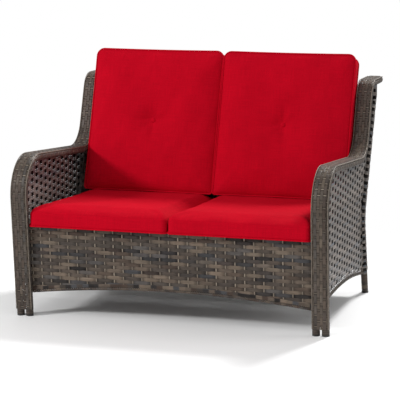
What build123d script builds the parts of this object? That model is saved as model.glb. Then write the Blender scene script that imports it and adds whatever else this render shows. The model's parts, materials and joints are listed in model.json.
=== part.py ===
from build123d import *
import os
from math import atan2, cos, hypot, radians, sin, sqrt, tan

# Two seat patio loveseat: bent steel tube frame covered with flat woven resin,
# two loose seat cushions and two loose tufted back cushions.
# Millimetres, +X to the viewer's right, -Y to the front, +Z up.
# The origin is on the floor, under the middle of the whole loveseat.

# Band: the woven strip that runs up the front leg, over the arm, up the wing and back.
# Its face is the front and top surface. The corners of its side view lie at these
# heights, before the seat's front edge or past its rear edge:
overall_width = 1190
face_foot_before_seat = 16
face_knee_before_seat = 67
face_knee_z = 611
face_elbow_past_seat = 48
face_elbow_z = 551
face_crest_past_seat = 146
face_crest_z = 832
face_end_past_seat = 351
face_end_z = 830
knee_radius = 142
elbow_radius = 115
crest_radius = 75

# Steel tubes of the band and the woven skin round them
arm_tube_radius = 11
tube_wall = 1.5
fit_gap = 0.3
skin_wall = 2.7
arm_tube_spacing = 35
band_edge_margin = 2
foot_split_height = 26
welt_radius = 2
welt_angle = 45

# Feet
glide_head_height = 6
glide_spigot_length = 14
glide_spigot_gap = 0.2
glide_overrun = 12

# Rear posts, as places of the tube's centre line past the seat's rear edge
post_tube_radius = 10.5
post_outset = 2
post_foot_past_seat = 109
post_waist_past_seat = 9
post_waist_z = 322
post_top_past_seat = 215
post_top_z = 768
post_waist_radius = 150
post_overrun = 60

# Side panels and the arched rails under them
side_panel_thickness = 6
side_arch_front_z = 134
side_arch_mid_y = -105
side_arch_mid_z = 136
side_arch_rear_z = 86
side_rail_bead_radius = 5

# Seat: the deck's top plane falls to the rear
seat_front_y = -455.5
seat_front_z = 344
seat_fall = 3.4
seat_depth = 610
seat_rail_radius = 11
deck_thickness = 5
deck_side_gap = 3
support_bar_radius = 8
support_bar_count = 3

# Front and rear aprons
apron_leg_overlap = 3
apron_thickness = 8
apron_top_drop = 3
apron_end_z = 96
apron_mid_z = 131
rear_apron_thickness = 6
rear_apron_end_z = 104
rear_apron_mid_z = 131
apron_bead_radius = 5

# Back: the panel's front plane leans back from the rear end of the deck
back_recline = 18.5
back_panel_thickness = 6
back_panel_height = 492
upright_radius = 9
middle_upright_radius = 8

# Knock-down joints at the seat's corners
tab_thickness = 3
tab_width = 46
tab_depth = 40
tab_inset = 26
bolt_radius = 3
bolt_clearance = 0.4
bolt_head_radius = 5.5
bolt_head_height = 4
bolt_length = 18
cap_wall = 1.2

# Cushions
cushion_gap = 1.2
cushion_side_gap = 2
cover_thickness = 1.6
seat_cushion_overhang = 32
seat_cushion_thickness = 78
seat_corner_radius = 34
seat_side_draw = 6
back_cushion_thickness = 108
back_cushion_top_z = 909
back_corner_radius = 36
back_side_draw = 8
piping_radius = 2.6
piping_gap = 0.8
tuft_radius = 46
tuft_depth = 24
tuft_floor_radius = 13
button_radius = 11
button_height = 6
button_round = 2.5
tuft_height_share = 0.477
lift_crown_gap = 0.6

# Levels of a cushion from its underside or rear to its crown: the level and how far its
# outline draws in, both as shares of the thickness, and 1 where a piping cord is sewn on
seat_level_shares = (
    (0.0, 0.16, 0), (0.06, 0.11, 0), (0.16, 0.0, 1), (0.32, 0.01, 0),
    (0.50, 0.0, 0), (0.70, 0.035, 0), (0.86, 0.15, 0), (0.955, 0.42, 0), (1.0, 1.0, 0),
)
# How much further the front draws in at each level, for the rounded front edge
seat_front_shares = (0.04, 0.02, 0.0, 0.0, 0.02, 0.06, 0.15, 0.26, 0.45)
back_level_shares = (
    (0.0, 0.36, 0), (0.05, 0.12, 0), (0.13, 0.0, 1), (0.28, 0.012, 0),
    (0.55, 0.012, 0), (0.70, 0.0, 1), (0.82, 0.22, 0), (0.93, 0.75, 0), (1.0, 1.45, 0),
)
corner_growth_share = 0.3
corner_limit_share = 0.42

# Worked out sizes
half_width = overall_width / 2
skin_radius = arm_tube_radius + fit_gap + skin_wall
outer_tube_x = half_width - band_edge_margin - skin_radius
inner_tube_x = outer_tube_x - arm_tube_spacing
band_middle_x = (outer_tube_x + inner_tube_x) / 2
band_inner_x = inner_tube_x - skin_radius
band_rear_depth = 2 * skin_radius
post_x = outer_tube_x + post_outset
post_skin_radius = post_tube_radius + fit_gap + skin_wall
post_inner_x = post_x - post_skin_radius - fit_gap
panel_inner_x = outer_tube_x - side_panel_thickness / 2
apron_depth_from_face = 2 * skin_radius - apron_leg_overlap
apron_leg_reach = sqrt((skin_radius + fit_gap) ** 2 - (skin_radius - apron_leg_overlap) ** 2)
apron_end_x = inner_tube_x - apron_leg_reach
upright_x = post_inner_x - upright_radius - fit_gap
recline = radians(back_recline)
fall = radians(seat_fall)
sides = ((-1, "left"), (1, "right"))

seat_rear_y = seat_front_y + seat_depth * cos(fall)
seat_rear_z = seat_front_z - seat_depth * sin(fall)
face_foot_y = seat_front_y - face_foot_before_seat
face_knee_y = seat_front_y - face_knee_before_seat
post_foot_y = seat_rear_y + post_foot_past_seat
post_waist_y = seat_rear_y + post_waist_past_seat
seat_plane = Plane(
    origin=(0, seat_front_y, seat_front_z), x_dir=(1, 0, 0), z_dir=(0, sin(fall), cos(fall))
)
back_plane = Plane(
    origin=(0, seat_rear_y, seat_rear_z), x_dir=(1, 0, 0), z_dir=(0, -cos(recline), sin(recline))
)
face_corners = [
    (face_foot_y, 0),
    (face_knee_y, face_knee_z),
    (seat_rear_y + face_elbow_past_seat, face_elbow_z),
    (seat_rear_y + face_crest_past_seat, face_crest_z),
    (seat_rear_y + face_end_past_seat, face_end_z),
]
post_corners = [
    (post_foot_y, 0),
    (post_waist_y, post_waist_z),
    (seat_rear_y + post_top_past_seat, post_top_z),
]


def meet(a, b, c, d):
    """Point where the line through a and b crosses the line through c and d."""
    abx, aby = b[0] - a[0], b[1] - a[1]
    cdx, cdy = d[0] - c[0], d[1] - c[1]
    share = ((c[0] - a[0]) * cdy - (c[1] - a[1]) * cdx) / (abx * cdy - aby * cdx)
    return (a[0] + share * abx, a[1] + share * aby)


def shifted(corners, depth):
    """Corners of a line of straight runs moved to the right of its travel by depth."""
    runs = []
    for a, b in zip(corners, corners[1:]):
        length = hypot(b[0] - a[0], b[1] - a[1])
        right = ((b[1] - a[1]) / length * depth, -(b[0] - a[0]) / length * depth)
        runs.append(((a[0] + right[0], a[1] + right[1]), (b[0] + right[0], b[1] + right[1])))
    middle = [meet(*first, *second) for first, second in zip(runs, runs[1:])]
    return [runs[0][0]] + middle + [runs[-1][1]]


def along(a, b, length):
    """Point at a length from a towards b."""
    whole = hypot(b[0] - a[0], b[1] - a[1])
    return (a[0] + (b[0] - a[0]) * length / whole, a[1] + (b[1] - a[1]) * length / whole)


def at_height(a, b, height):
    """Point of the line through a and b at a height."""
    return meet(a, b, (a[0], height), (a[0] + abs(b[1] - a[1]), height))


def toward_centre(points, drop):
    """Three points of an arc moved towards its centre by drop."""
    (ax, ay), (bx, by), (cx, cy) = points
    double_area = 2 * (ax * (by - cy) + bx * (cy - ay) + cx * (ay - by))
    a2, b2, c2 = ax**2 + ay**2, bx**2 + by**2, cx**2 + cy**2
    centre_x = (a2 * (by - cy) + b2 * (cy - ay) + c2 * (ay - by)) / double_area
    centre_y = (a2 * (cx - bx) + b2 * (ax - cx) + c2 * (bx - ax)) / double_area
    return [along(point, (centre_x, centre_y), drop) for point in points]


def band_line(depth, start=0):
    """Corners and radii of the band's side view at a depth behind its face."""
    corners = shifted(face_corners, depth)
    corners[0] = along(corners[0], corners[1], start)
    radii = [knee_radius - depth, elbow_radius + depth, crest_radius - depth]
    return corners, radii


def post_line(shift):
    """Corners of the rear post's side view, moved to the rear by shift."""
    return shifted(post_corners, shift)


def side_view_plane(point, toward, x):
    """Plane square to a run of a side view, at its start."""
    run = (toward[0] - point[0], toward[1] - point[1])
    return Plane(origin=(x, point[0], point[1]), x_dir=(1, 0, 0), z_dir=(0, run[0], run[1]))


def band_sweep(x, depth, start, radius, bore=0):
    """Round rod or tube that follows the band, with an optional bore."""
    corners, radii = band_line(depth, start)
    with BuildPart() as rod:
        with BuildLine(Plane.YZ.offset(x)) as path:
            FilletPolyline(*corners, radius=radii)
        with BuildSketch(side_view_plane(corners[0], corners[1], x)):
            Circle(radius)
            if bore:
                Circle(bore, mode=Mode.SUBTRACT)
        sweep(path=path.wires()[0])
    return rod


def save(part, label):
    """Label a piece and write its file."""
    part.label = label
    export_step(part, f"parts/{label}.step")


os.makedirs("parts", exist_ok=True)

# Bent steel tubes of the arms
for side, word in sides:
    for x, place in ((inner_tube_x, "inner"), (outer_tube_x, "outer")):
        arm_tube = band_sweep(
            side * x, skin_radius, glide_head_height, arm_tube_radius, arm_tube_radius - tube_wall
        )
        save(arm_tube.part, f"{word}_arm_{place}_tube")

# Woven skin round each pair of arm tubes
for side, word in sides:
    corners, radii = band_line(skin_radius, foot_split_height)
    with BuildPart() as arm_band:
        with BuildLine(Plane.YZ.offset(side * band_middle_x)) as band_path:
            FilletPolyline(*corners, radius=radii)
        with BuildSketch(side_view_plane(corners[0], corners[1], side * band_middle_x)):
            SlotCenterToCenter(arm_tube_spacing, 2 * skin_radius)
            SlotCenterToCenter(arm_tube_spacing, 2 * (arm_tube_radius + fit_gap), mode=Mode.SUBTRACT)
        sweep(path=band_path.wires()[0])
    save(arm_band.part, f"{word}_arm_band")

# Cord sewn along both edges of the band's face
welt_reach = skin_radius + welt_radius + fit_gap
welt_out = welt_reach * sin(radians(welt_angle))
for side, word in sides:
    with BuildPart() as arm_welts:
        for x in (inner_tube_x - welt_out, outer_tube_x + welt_out):
            welt = band_sweep(side * x, skin_radius - welt_out, foot_split_height, welt_radius)
            add(welt.part)
    save(arm_welts.part, f"{word}_arm_welts")

# Wrapped ends of the four front feet, below the band
with BuildPart() as front_foot_wraps:
    for side, _ in sides:
        for x in (inner_tube_x, outer_tube_x):
            corners, radii = band_line(skin_radius, glide_head_height)
            with BuildSketch(side_view_plane(corners[0], corners[1], side * x)):
                Circle(skin_radius)
                Circle(arm_tube_radius + fit_gap, mode=Mode.SUBTRACT)
            extrude(amount=foot_split_height - glide_head_height - fit_gap)
save(front_foot_wraps.part, "front_foot_wraps")


def foot_glide(start, toward, x, head_radius, tube_bore):
    """Plastic glide with its spigot in the tube, cut flat on the floor."""
    base = along(start, toward, glide_head_height - fit_gap)
    foot_plane = side_view_plane(base, toward, x)
    with BuildPart() as glide:
        with BuildSketch(foot_plane):
            Circle(head_radius)
        extrude(amount=-glide_overrun)
        with BuildSketch(foot_plane):
            Circle(tube_bore - glide_spigot_gap)
        extrude(amount=glide_spigot_length)
        split(bisect_by=Plane.XY, keep=Keep.TOP)
    return glide


with BuildPart() as front_foot_glides:
    for side, _ in sides:
        for x in (inner_tube_x, outer_tube_x):
            corners, radii = band_line(skin_radius)
            front_glide = foot_glide(
                corners[0], corners[1], side * x, skin_radius, arm_tube_radius - tube_wall
            )
            add(front_glide.part)
save(front_foot_glides.part, "front_foot_glides")

with BuildPart() as rear_foot_glides:
    for side, _ in sides:
        rear_glide = foot_glide(
            post_corners[0], post_corners[1], side * post_x, post_skin_radius,
            post_tube_radius - tube_wall,
        )
        add(rear_glide.part)
save(rear_foot_glides.part, "rear_foot_glides")

# Caps on the rolled ends of the bands, with a spigot in each tube
for side, word in sides:
    corners, radii = band_line(skin_radius)
    end_plane = side_view_plane(corners[-1], along(corners[-1], corners[-2], -skin_radius), 0)
    cap_start = end_plane.offset(fit_gap)
    with BuildPart() as roll_end_cap:
        with BuildSketch(cap_start):
            with Locations((side * band_middle_x, 0)):
                SlotCenterToCenter(arm_tube_spacing, 2 * skin_radius)
        extrude(amount=glide_head_height)
        fillet(
            roll_end_cap.faces().sort_by(Axis(cap_start.origin, cap_start.z_dir))[-1].edges(),
            radius=glide_head_height / 2,
        )
        with BuildSketch(cap_start):
            with Locations((side * inner_tube_x, 0), (side * outer_tube_x, 0)):
                Circle(arm_tube_radius - tube_wall - glide_spigot_gap)
        extrude(amount=-glide_spigot_length)
    save(roll_end_cap.part, f"{word}_roll_end_cap")

# Rear posts, cut to fit under the rolled band
under_roll = shifted(face_corners, band_rear_depth + fit_gap)
roll_cut = Plane(
    origin=(0, under_roll[-2][0], under_roll[-2][1]),
    x_dir=(1, 0, 0),
    z_dir=(0, -(under_roll[-1][1] - under_roll[-2][1]), under_roll[-1][0] - under_roll[-2][0]),
)


def post_sweep(x, start, radius, bore):
    """Tube along the rear post, cut under the rolled band."""
    corners = post_line(0)
    corners[0] = along(corners[0], corners[1], start)
    corners[-1] = along(corners[-1], corners[-2], -post_overrun)
    with BuildPart() as post:
        with BuildLine(Plane.YZ.offset(x)) as path:
            FilletPolyline(*corners, radius=[post_waist_radius])
        with BuildSketch(side_view_plane(corners[0], corners[1], x)):
            Circle(radius)
            Circle(bore, mode=Mode.SUBTRACT)
        sweep(path=path.wires()[0])
        split(bisect_by=roll_cut, keep=Keep.BOTTOM)
    return post


for side, word in sides:
    rear_post = post_sweep(
        side * post_x, glide_head_height, post_tube_radius, post_tube_radius - tube_wall
    )
    save(rear_post.part, f"{word}_rear_post")
    post_skin = post_sweep(
        side * post_x, glide_head_height, post_skin_radius, post_tube_radius + fit_gap
    )
    save(post_skin.part, f"{word}_rear_post_skin")

# Side panels fill the side view between the band, the rear post and an arched rail
panel_line, panel_radii = band_line(band_rear_depth + fit_gap)
post_front = post_line(-(post_skin_radius + fit_gap))
panel_top = meet(panel_line[-2], panel_line[-1], post_front[-2], post_front[-1])


side_arch = [
    at_height(panel_line[0], panel_line[1], side_arch_front_z),
    (side_arch_mid_y, side_arch_mid_z),
    at_height(post_front[0], post_front[1], side_arch_rear_z),
]
bead_arch = toward_centre(side_arch, side_rail_bead_radius + fit_gap)
leg_side = Plane(
    origin=(0, *panel_line[0]),
    x_dir=(1, 0, 0),
    z_dir=(0, panel_line[1][1] - panel_line[0][1], panel_line[0][0] - panel_line[1][0]),
)
post_side = Plane(
    origin=(0, *post_front[0]),
    x_dir=(1, 0, 0),
    z_dir=(0, post_front[1][1] - post_front[0][1], post_front[0][0] - post_front[1][0]),
)

for side, word in sides:
    low, middle, rear = side_arch
    with BuildPart() as side_panel:
        with BuildSketch(Plane.YZ.offset(side * outer_tube_x)):
            with BuildLine():
                FilletPolyline(low, *panel_line[1:-1], panel_top, radius=panel_radii)
                FilletPolyline(
                    panel_top, post_front[1], rear, radius=[post_waist_radius + post_skin_radius]
                )
                ThreePointArc(rear, middle, low)
            make_face()
        extrude(amount=side_panel_thickness / 2, both=True)
    save(side_panel.part, f"{word}_side_panel")

    with BuildPart() as side_arch_rail:
        with BuildLine(Plane.YZ.offset(side * outer_tube_x)) as arch_path:
            ThreePointArc(*bead_arch)
        with BuildSketch(Plane(origin=arch_path.line @ 0, z_dir=arch_path.line % 0)):
            Circle(side_rail_bead_radius)
        sweep(path=arch_path.wires()[0])
        split(bisect_by=leg_side, keep=Keep.TOP)
        split(bisect_by=post_side, keep=Keep.BOTTOM)
    save(side_arch_rail.part, f"{word}_side_arch_rail")

# Seat frame: the rails' centres lie in one plane under the deck
rail_plane = seat_plane.offset(-(deck_thickness + fit_gap + seat_rail_radius))
side_rail_x = panel_inner_x - fit_gap - seat_rail_radius
rail_front_y = seat_front_y - sin(fall) * (deck_thickness + fit_gap + seat_rail_radius)
rail_front_z = seat_front_z - cos(fall) * (deck_thickness + fit_gap + seat_rail_radius)
rail_line = ((rail_front_y, rail_front_z), (rail_front_y + cos(fall), rail_front_z - sin(fall)))
upright_depth = back_panel_thickness + fit_gap + upright_radius
upright_foot = (
    seat_rear_y + upright_depth * cos(recline),
    seat_rear_z - upright_depth * sin(recline),
)
upright_line = (upright_foot, (upright_foot[0] + sin(recline), upright_foot[1] + cos(recline)))
rear_rail_point = meet(*rail_line, *upright_line)
leg_rear_line = shifted(face_corners, band_rear_depth + fit_gap)
leg_meet = meet(*rail_line, leg_rear_line[0], leg_rear_line[1])
rail_in_front = shifted(
    face_corners, apron_depth_from_face + apron_thickness + fit_gap + seat_rail_radius
)
front_rail_point = meet(*rail_line, rail_in_front[0], rail_in_front[1])


def rail_s(point):
    """Distance of a side view point along the rail plane from its origin."""
    return (point[0] - rail_front_y) / cos(fall)


with BuildPart() as front_rail:
    with BuildSketch(Plane.YZ):
        with Locations(front_rail_point):
            Circle(seat_rail_radius)
            Circle(seat_rail_radius - tube_wall, mode=Mode.SUBTRACT)
    extrude(amount=side_rail_x - seat_rail_radius - fit_gap, both=True)
    with BuildSketch(rail_plane):
        for side, _ in sides:
            with Locations(
                (side * (side_rail_x - seat_rail_radius - tab_inset), rail_s(front_rail_point))
            ):
                Circle(bolt_radius + bolt_clearance)
    extrude(amount=-2 * seat_rail_radius, mode=Mode.SUBTRACT)
save(front_rail.part, "front_rail")

with BuildPart() as rear_rail:
    with BuildSketch(Plane.YZ):
        with Locations(rear_rail_point):
            Circle(seat_rail_radius)
            Circle(seat_rail_radius - tube_wall, mode=Mode.SUBTRACT)
    extrude(amount=post_inner_x, both=True)
    with BuildSketch(rail_plane):
        for side, _ in sides:
            with Locations(
                (side * (side_rail_x - seat_rail_radius - tab_inset), rail_s(rear_rail_point))
            ):
                Circle(bolt_radius + bolt_clearance)
    extrude(amount=-2 * seat_rail_radius, mode=Mode.SUBTRACT)
save(rear_rail.part, "rear_rail")

leg_lean = atan2(face_foot_y - face_knee_y, face_knee_z)
side_rail_start = rail_s(leg_meet) + seat_rail_radius * tan(fall + leg_lean)
side_rail_end = rail_s(rear_rail_point) - seat_rail_radius - fit_gap
for side, word in sides:
    side_rail_plane = Plane(
        origin=rail_plane.from_local_coords((side * side_rail_x, side_rail_start, 0)),
        z_dir=rail_plane.y_dir,
    )
    with BuildPart() as side_rail:
        with BuildSketch(side_rail_plane):
            Circle(seat_rail_radius)
            Circle(seat_rail_radius - tube_wall, mode=Mode.SUBTRACT)
        extrude(amount=side_rail_end - side_rail_start)
    save(side_rail.part, f"{word}_side_rail")

bar_bay = 2 * side_rail_x / (support_bar_count + 1)
bar_plane = seat_plane.offset(-(deck_thickness + fit_gap + support_bar_radius))
bar_start = rail_s(front_rail_point) + seat_rail_radius + fit_gap
bar_end = rail_s(rear_rail_point) - seat_rail_radius - fit_gap
with BuildPart() as seat_support_bars:
    for number in range(support_bar_count):
        bar_x = (number + 1) * bar_bay - side_rail_x
        bar_origin = bar_plane.from_local_coords((bar_x, bar_start, 0))
        with BuildSketch(Plane(origin=bar_origin, z_dir=bar_plane.y_dir)):
            Circle(support_bar_radius)
            Circle(support_bar_radius - tube_wall, mode=Mode.SUBTRACT)
        extrude(amount=bar_end - bar_start)
save(seat_support_bars.part, "seat_support_bars")

deck_half_x = panel_inner_x - deck_side_gap
deck_line = shifted(face_corners, apron_depth_from_face + apron_thickness + fit_gap)
deck_front = rail_s(meet(*rail_line, deck_line[0], deck_line[1])) + deck_thickness * tan(fall)
with BuildPart() as seat_deck:
    with BuildSketch(seat_plane):
        with BuildLine():
            Polyline(
                (-deck_half_x, deck_front),
                (deck_half_x, deck_front),
                (deck_half_x, seat_depth - fit_gap),
                (-deck_half_x, seat_depth - fit_gap),
                close=True,
            )
        make_face()
    extrude(amount=-deck_thickness)
save(seat_deck.part, "seat_deck")


def run_plane(start, toward):
    """Plane that holds the X axis and a run of the side view, facing the front."""
    run = (toward[0] - start[0], toward[1] - start[1])
    return Plane(origin=(0, start[0], start[1]), x_dir=(1, 0, 0), z_dir=(0, -run[1], run[0]))


def apron(plane, half_x, top_z, end_z, mid_z, thickness):
    """Woven apron behind a plane, with an arched lower edge."""
    rise = plane.y_dir.Z
    top, end, middle = [(z - plane.origin.Z) / rise for z in (top_z, end_z, mid_z)]
    with BuildPart() as panel:
        with BuildSketch(plane):
            with BuildLine():
                Polyline((half_x, end), (half_x, top), (-half_x, top), (-half_x, end))
                ThreePointArc((-half_x, end), (0, middle), (half_x, end))
            make_face()
        extrude(amount=-thickness)
    return panel


def apron_bead(plane, half_x, end_z, mid_z):
    """Arched rail along an apron's lower edge."""
    rise = plane.y_dir.Z
    end, middle = [(z - plane.origin.Z) / rise for z in (end_z, mid_z)]
    arch = toward_centre(
        [(-half_x, end), (0, middle), (half_x, end)], apron_bead_radius + fit_gap
    )
    with BuildPart() as bead:
        with BuildLine(plane) as path:
            ThreePointArc(*arch)
        with BuildSketch(Plane(origin=path.line @ 0, z_dir=path.line % 0)):
            Circle(apron_bead_radius)
        sweep(path=path.wires()[0])
    return bead


apron_face = shifted(face_corners, apron_depth_from_face)
apron_plane = run_plane(apron_face[0], apron_face[1])
front_apron = apron(
    apron_plane, apron_end_x, seat_front_z - apron_top_drop, apron_end_z, apron_mid_z, apron_thickness
)
save(front_apron.part, "front_apron")
front_bead = apron_bead(
    apron_plane.offset(-apron_thickness / 2),
    apron_end_x - apron_bead_radius,
    apron_end_z,
    apron_mid_z,
)
save(front_bead.part, "front_apron_arch_rail")

post_run = (post_waist_y - post_foot_y, post_waist_z)
post_run_length = hypot(*post_run)
rear_offset = seat_rail_radius + fit_gap
rear_face_point = (
    rear_rail_point[0] + rear_offset * post_run[1] / post_run_length,
    rear_rail_point[1] - rear_offset * post_run[0] / post_run_length,
)
rear_plane = run_plane(
    rear_face_point, (rear_face_point[0] + post_run[0], rear_face_point[1] + post_run[1])
)
rear_top_z = rear_rail_point[1]
rear_apron = apron(
    rear_plane, post_inner_x, rear_top_z, rear_apron_end_z, rear_apron_mid_z, rear_apron_thickness
)
save(rear_apron.part, "rear_apron")
rear_bead = apron_bead(
    rear_plane.offset(-rear_apron_thickness / 2), post_inner_x, rear_apron_end_z, rear_apron_mid_z
)
save(rear_bead.part, "rear_apron_arch_rail")

# Back frame and woven back panel, laid out in the leaning plane
with BuildPart() as back_panel:
    with BuildSketch(back_plane):
        with BuildLine():
            Polyline(
                (-post_inner_x, fit_gap),
                (post_inner_x, fit_gap),
                (post_inner_x, back_panel_height),
                (-post_inner_x, back_panel_height),
                close=True,
            )
        make_face()
    extrude(amount=-back_panel_thickness)
save(back_panel.part, "back_panel")

upright_plane = back_plane.offset(-upright_depth)
upright_start = (
    (rear_rail_point[0] - upright_foot[0]) * sin(recline)
    + (rear_rail_point[1] - upright_foot[1]) * cos(recline)
    + seat_rail_radius
    + fit_gap
)
top_rail_u = back_panel_height - upright_radius
for side, word in sides:
    upright_base = upright_plane.from_local_coords((side * upright_x, upright_start, 0))
    with BuildPart() as back_upright:
        with BuildSketch(Plane(origin=upright_base, z_dir=back_plane.y_dir)):
            Circle(upright_radius)
            Circle(upright_radius - tube_wall, mode=Mode.SUBTRACT)
        extrude(amount=back_panel_height - upright_start)
    save(back_upright.part, f"{word}_back_upright")

with BuildPart() as back_top_rail:
    rail_centre = upright_plane.from_local_coords((0, top_rail_u, 0))
    with BuildSketch(Plane(origin=rail_centre, z_dir=(1, 0, 0))):
        Circle(upright_radius)
        Circle(upright_radius - tube_wall, mode=Mode.SUBTRACT)
    extrude(amount=upright_x - upright_radius - fit_gap, both=True)
save(back_top_rail.part, "back_top_rail")

with BuildPart() as back_middle_upright:
    middle_base = upright_plane.from_local_coords((0, upright_start, 0))
    with BuildSketch(Plane(origin=middle_base, z_dir=back_plane.y_dir)):
        Circle(middle_upright_radius)
        Circle(middle_upright_radius - tube_wall, mode=Mode.SUBTRACT)
    extrude(amount=top_rail_u - upright_radius - fit_gap - upright_start)
save(back_middle_upright.part, "back_middle_upright")

# Corner tabs under the rails, with a bolt up into each front and rear rail
tab_top = rail_plane.offset(-(seat_rail_radius + fit_gap))
tab_x = side_rail_x - seat_rail_radius - tab_inset
tab_shift = (tab_depth - seat_rail_radius) / 2
tab_places = []
tab_middles = []
for side, _ in sides:
    for point, inward in ((front_rail_point, 1), (rear_rail_point, -1)):
        tab_places.append((side * tab_x, rail_s(point)))
        tab_middles.append((side * tab_x, rail_s(point) + inward * tab_shift))
with BuildPart() as corner_tabs:
    with BuildSketch(tab_top):
        with Locations(*tab_middles):
            RectangleRounded(tab_width, tab_depth, bolt_head_radius)
        with Locations(*tab_places):
            Circle(bolt_radius + bolt_clearance, mode=Mode.SUBTRACT)
    extrude(amount=-tab_thickness)
save(corner_tabs.part, "corner_tabs")

bolt_seat = tab_top.offset(-(tab_thickness + fit_gap))
with BuildPart() as tab_bolts:
    with BuildSketch(bolt_seat):
        with Locations(*tab_places):
            RegularPolygon(bolt_head_radius, 6)
    extrude(amount=-bolt_head_height)
    with BuildSketch(bolt_seat):
        with Locations(*tab_places):
            Circle(bolt_radius)
    extrude(amount=bolt_length)
save(tab_bolts.part, "tab_bolts")

with BuildPart() as bolt_caps:
    with BuildSketch(bolt_seat):
        with Locations(*tab_places):
            Circle(bolt_head_radius + fit_gap + cap_wall)
            Circle(bolt_head_radius + fit_gap, mode=Mode.SUBTRACT)
    extrude(amount=-(bolt_head_height + fit_gap))
    with BuildSketch(bolt_seat.offset(-(bolt_head_height + fit_gap))):
        with Locations(*tab_places):
            Circle(bolt_head_radius + fit_gap + cap_wall)
    extrude(amount=-cap_wall)
save(bolt_caps.part, "bolt_caps")


def cushion_outline(plane, left, right, low, high, draw, corner):
    """Four edges that draw in between rounded corners."""
    mid_x = (left + right) / 2
    mid_y = (low + high) / 2
    limit = corner_limit_share * min(right - left, high - low)
    with BuildSketch(plane) as outline:
        with BuildLine():
            ThreePointArc((left, low), (mid_x, low + draw), (right, low))
            ThreePointArc((right, low), (right - draw, mid_y), (right, high))
            ThreePointArc((right, high), (mid_x, high - draw), (left, high))
            ThreePointArc((left, high), (left + draw, mid_y), (left, low))
        make_face()
        fillet(outline.vertices(), radius=min(corner, limit))
    return outline.sketch


def seat_levels(left, right, shrink):
    """Outlines of a seat cushion from its underside to its crown."""
    thickness = seat_cushion_thickness - 2 * shrink
    outlines = []
    for (level, inset, sewn), front in zip(seat_level_shares, seat_front_shares):
        height = seat_lift + shrink + level * thickness
        pull = inset * seat_cushion_thickness + sewn * piping_pull + shrink
        outlines.append(
            cushion_outline(
                seat_plane.offset(height),
                left + pull,
                right - pull,
                -seat_cushion_overhang + front * seat_cushion_thickness + pull,
                seat_depth - fit_gap - pull,
                seat_side_draw,
                seat_corner_radius + corner_growth_share * pull - shrink,
            )
        )
    return outlines


def back_levels(left, right, shrink):
    """Outlines of a back cushion from its rear to its crown."""
    thickness = back_cushion_thickness - 2 * shrink
    outlines = []
    for level, inset, sewn in back_level_shares:
        depth = back_lift + shrink + level * thickness
        pull = inset * back_cushion_thickness + sewn * piping_pull + shrink
        outlines.append(
            cushion_outline(
                back_plane.offset(depth),
                left + pull,
                right - pull,
                back_bottom(depth) + pull,
                back_top - pull,
                back_side_draw,
                back_corner_radius + corner_growth_share * pull - shrink,
            )
        )
    return outlines


def back_bottom(depth):
    """Height up the back plane where a back cushion clears the seat cushion's crown."""
    rest = seat_lift + seat_cushion_thickness + lift_crown_gap
    return rest / cos(recline - fall) - depth * tan(recline - fall)


def tuft_pit(plane, place, grow):
    """Funnel that the button pulls into the crown, grown by a wall."""
    crown = back_lift + back_cushion_thickness
    with BuildPart() as pit:
        with BuildSketch(plane.offset(crown + tuft_depth)):
            with Locations(place):
                Circle(2 * tuft_radius + grow)
        with BuildSketch(plane.offset(crown - tuft_depth / 2 - grow)):
            with Locations(place):
                Circle(tuft_radius / 2 + grow)
        with BuildSketch(plane.offset(crown - tuft_depth - grow)):
            with Locations(place):
                Circle(tuft_floor_radius + grow)
        loft(ruled=True)
    return pit


seat_lift = fit_gap
back_lift = fit_gap
back_top = (back_cushion_top_z - seat_rear_z) / cos(recline)
cushion_out = band_inner_x - cushion_side_gap
core_shrink = cover_thickness + fit_gap
piping_pull = 2 * piping_radius + piping_gap


def piping(outline_plane, left, right, low, high, draw, corner):
    """Cord sewn round a cushion, just outside an outline of its cover."""
    reach = piping_radius + piping_gap
    outline = cushion_outline(
        outline_plane, left - reach, right + reach, low - reach, high + reach, draw, corner + reach
    )
    path = outline.faces()[0].outer_wire()
    with BuildPart() as cord:
        with BuildSketch(Plane(origin=path @ 0, z_dir=path % 0)):
            Circle(piping_radius)
        sweep(path=path)
    return cord


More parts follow.
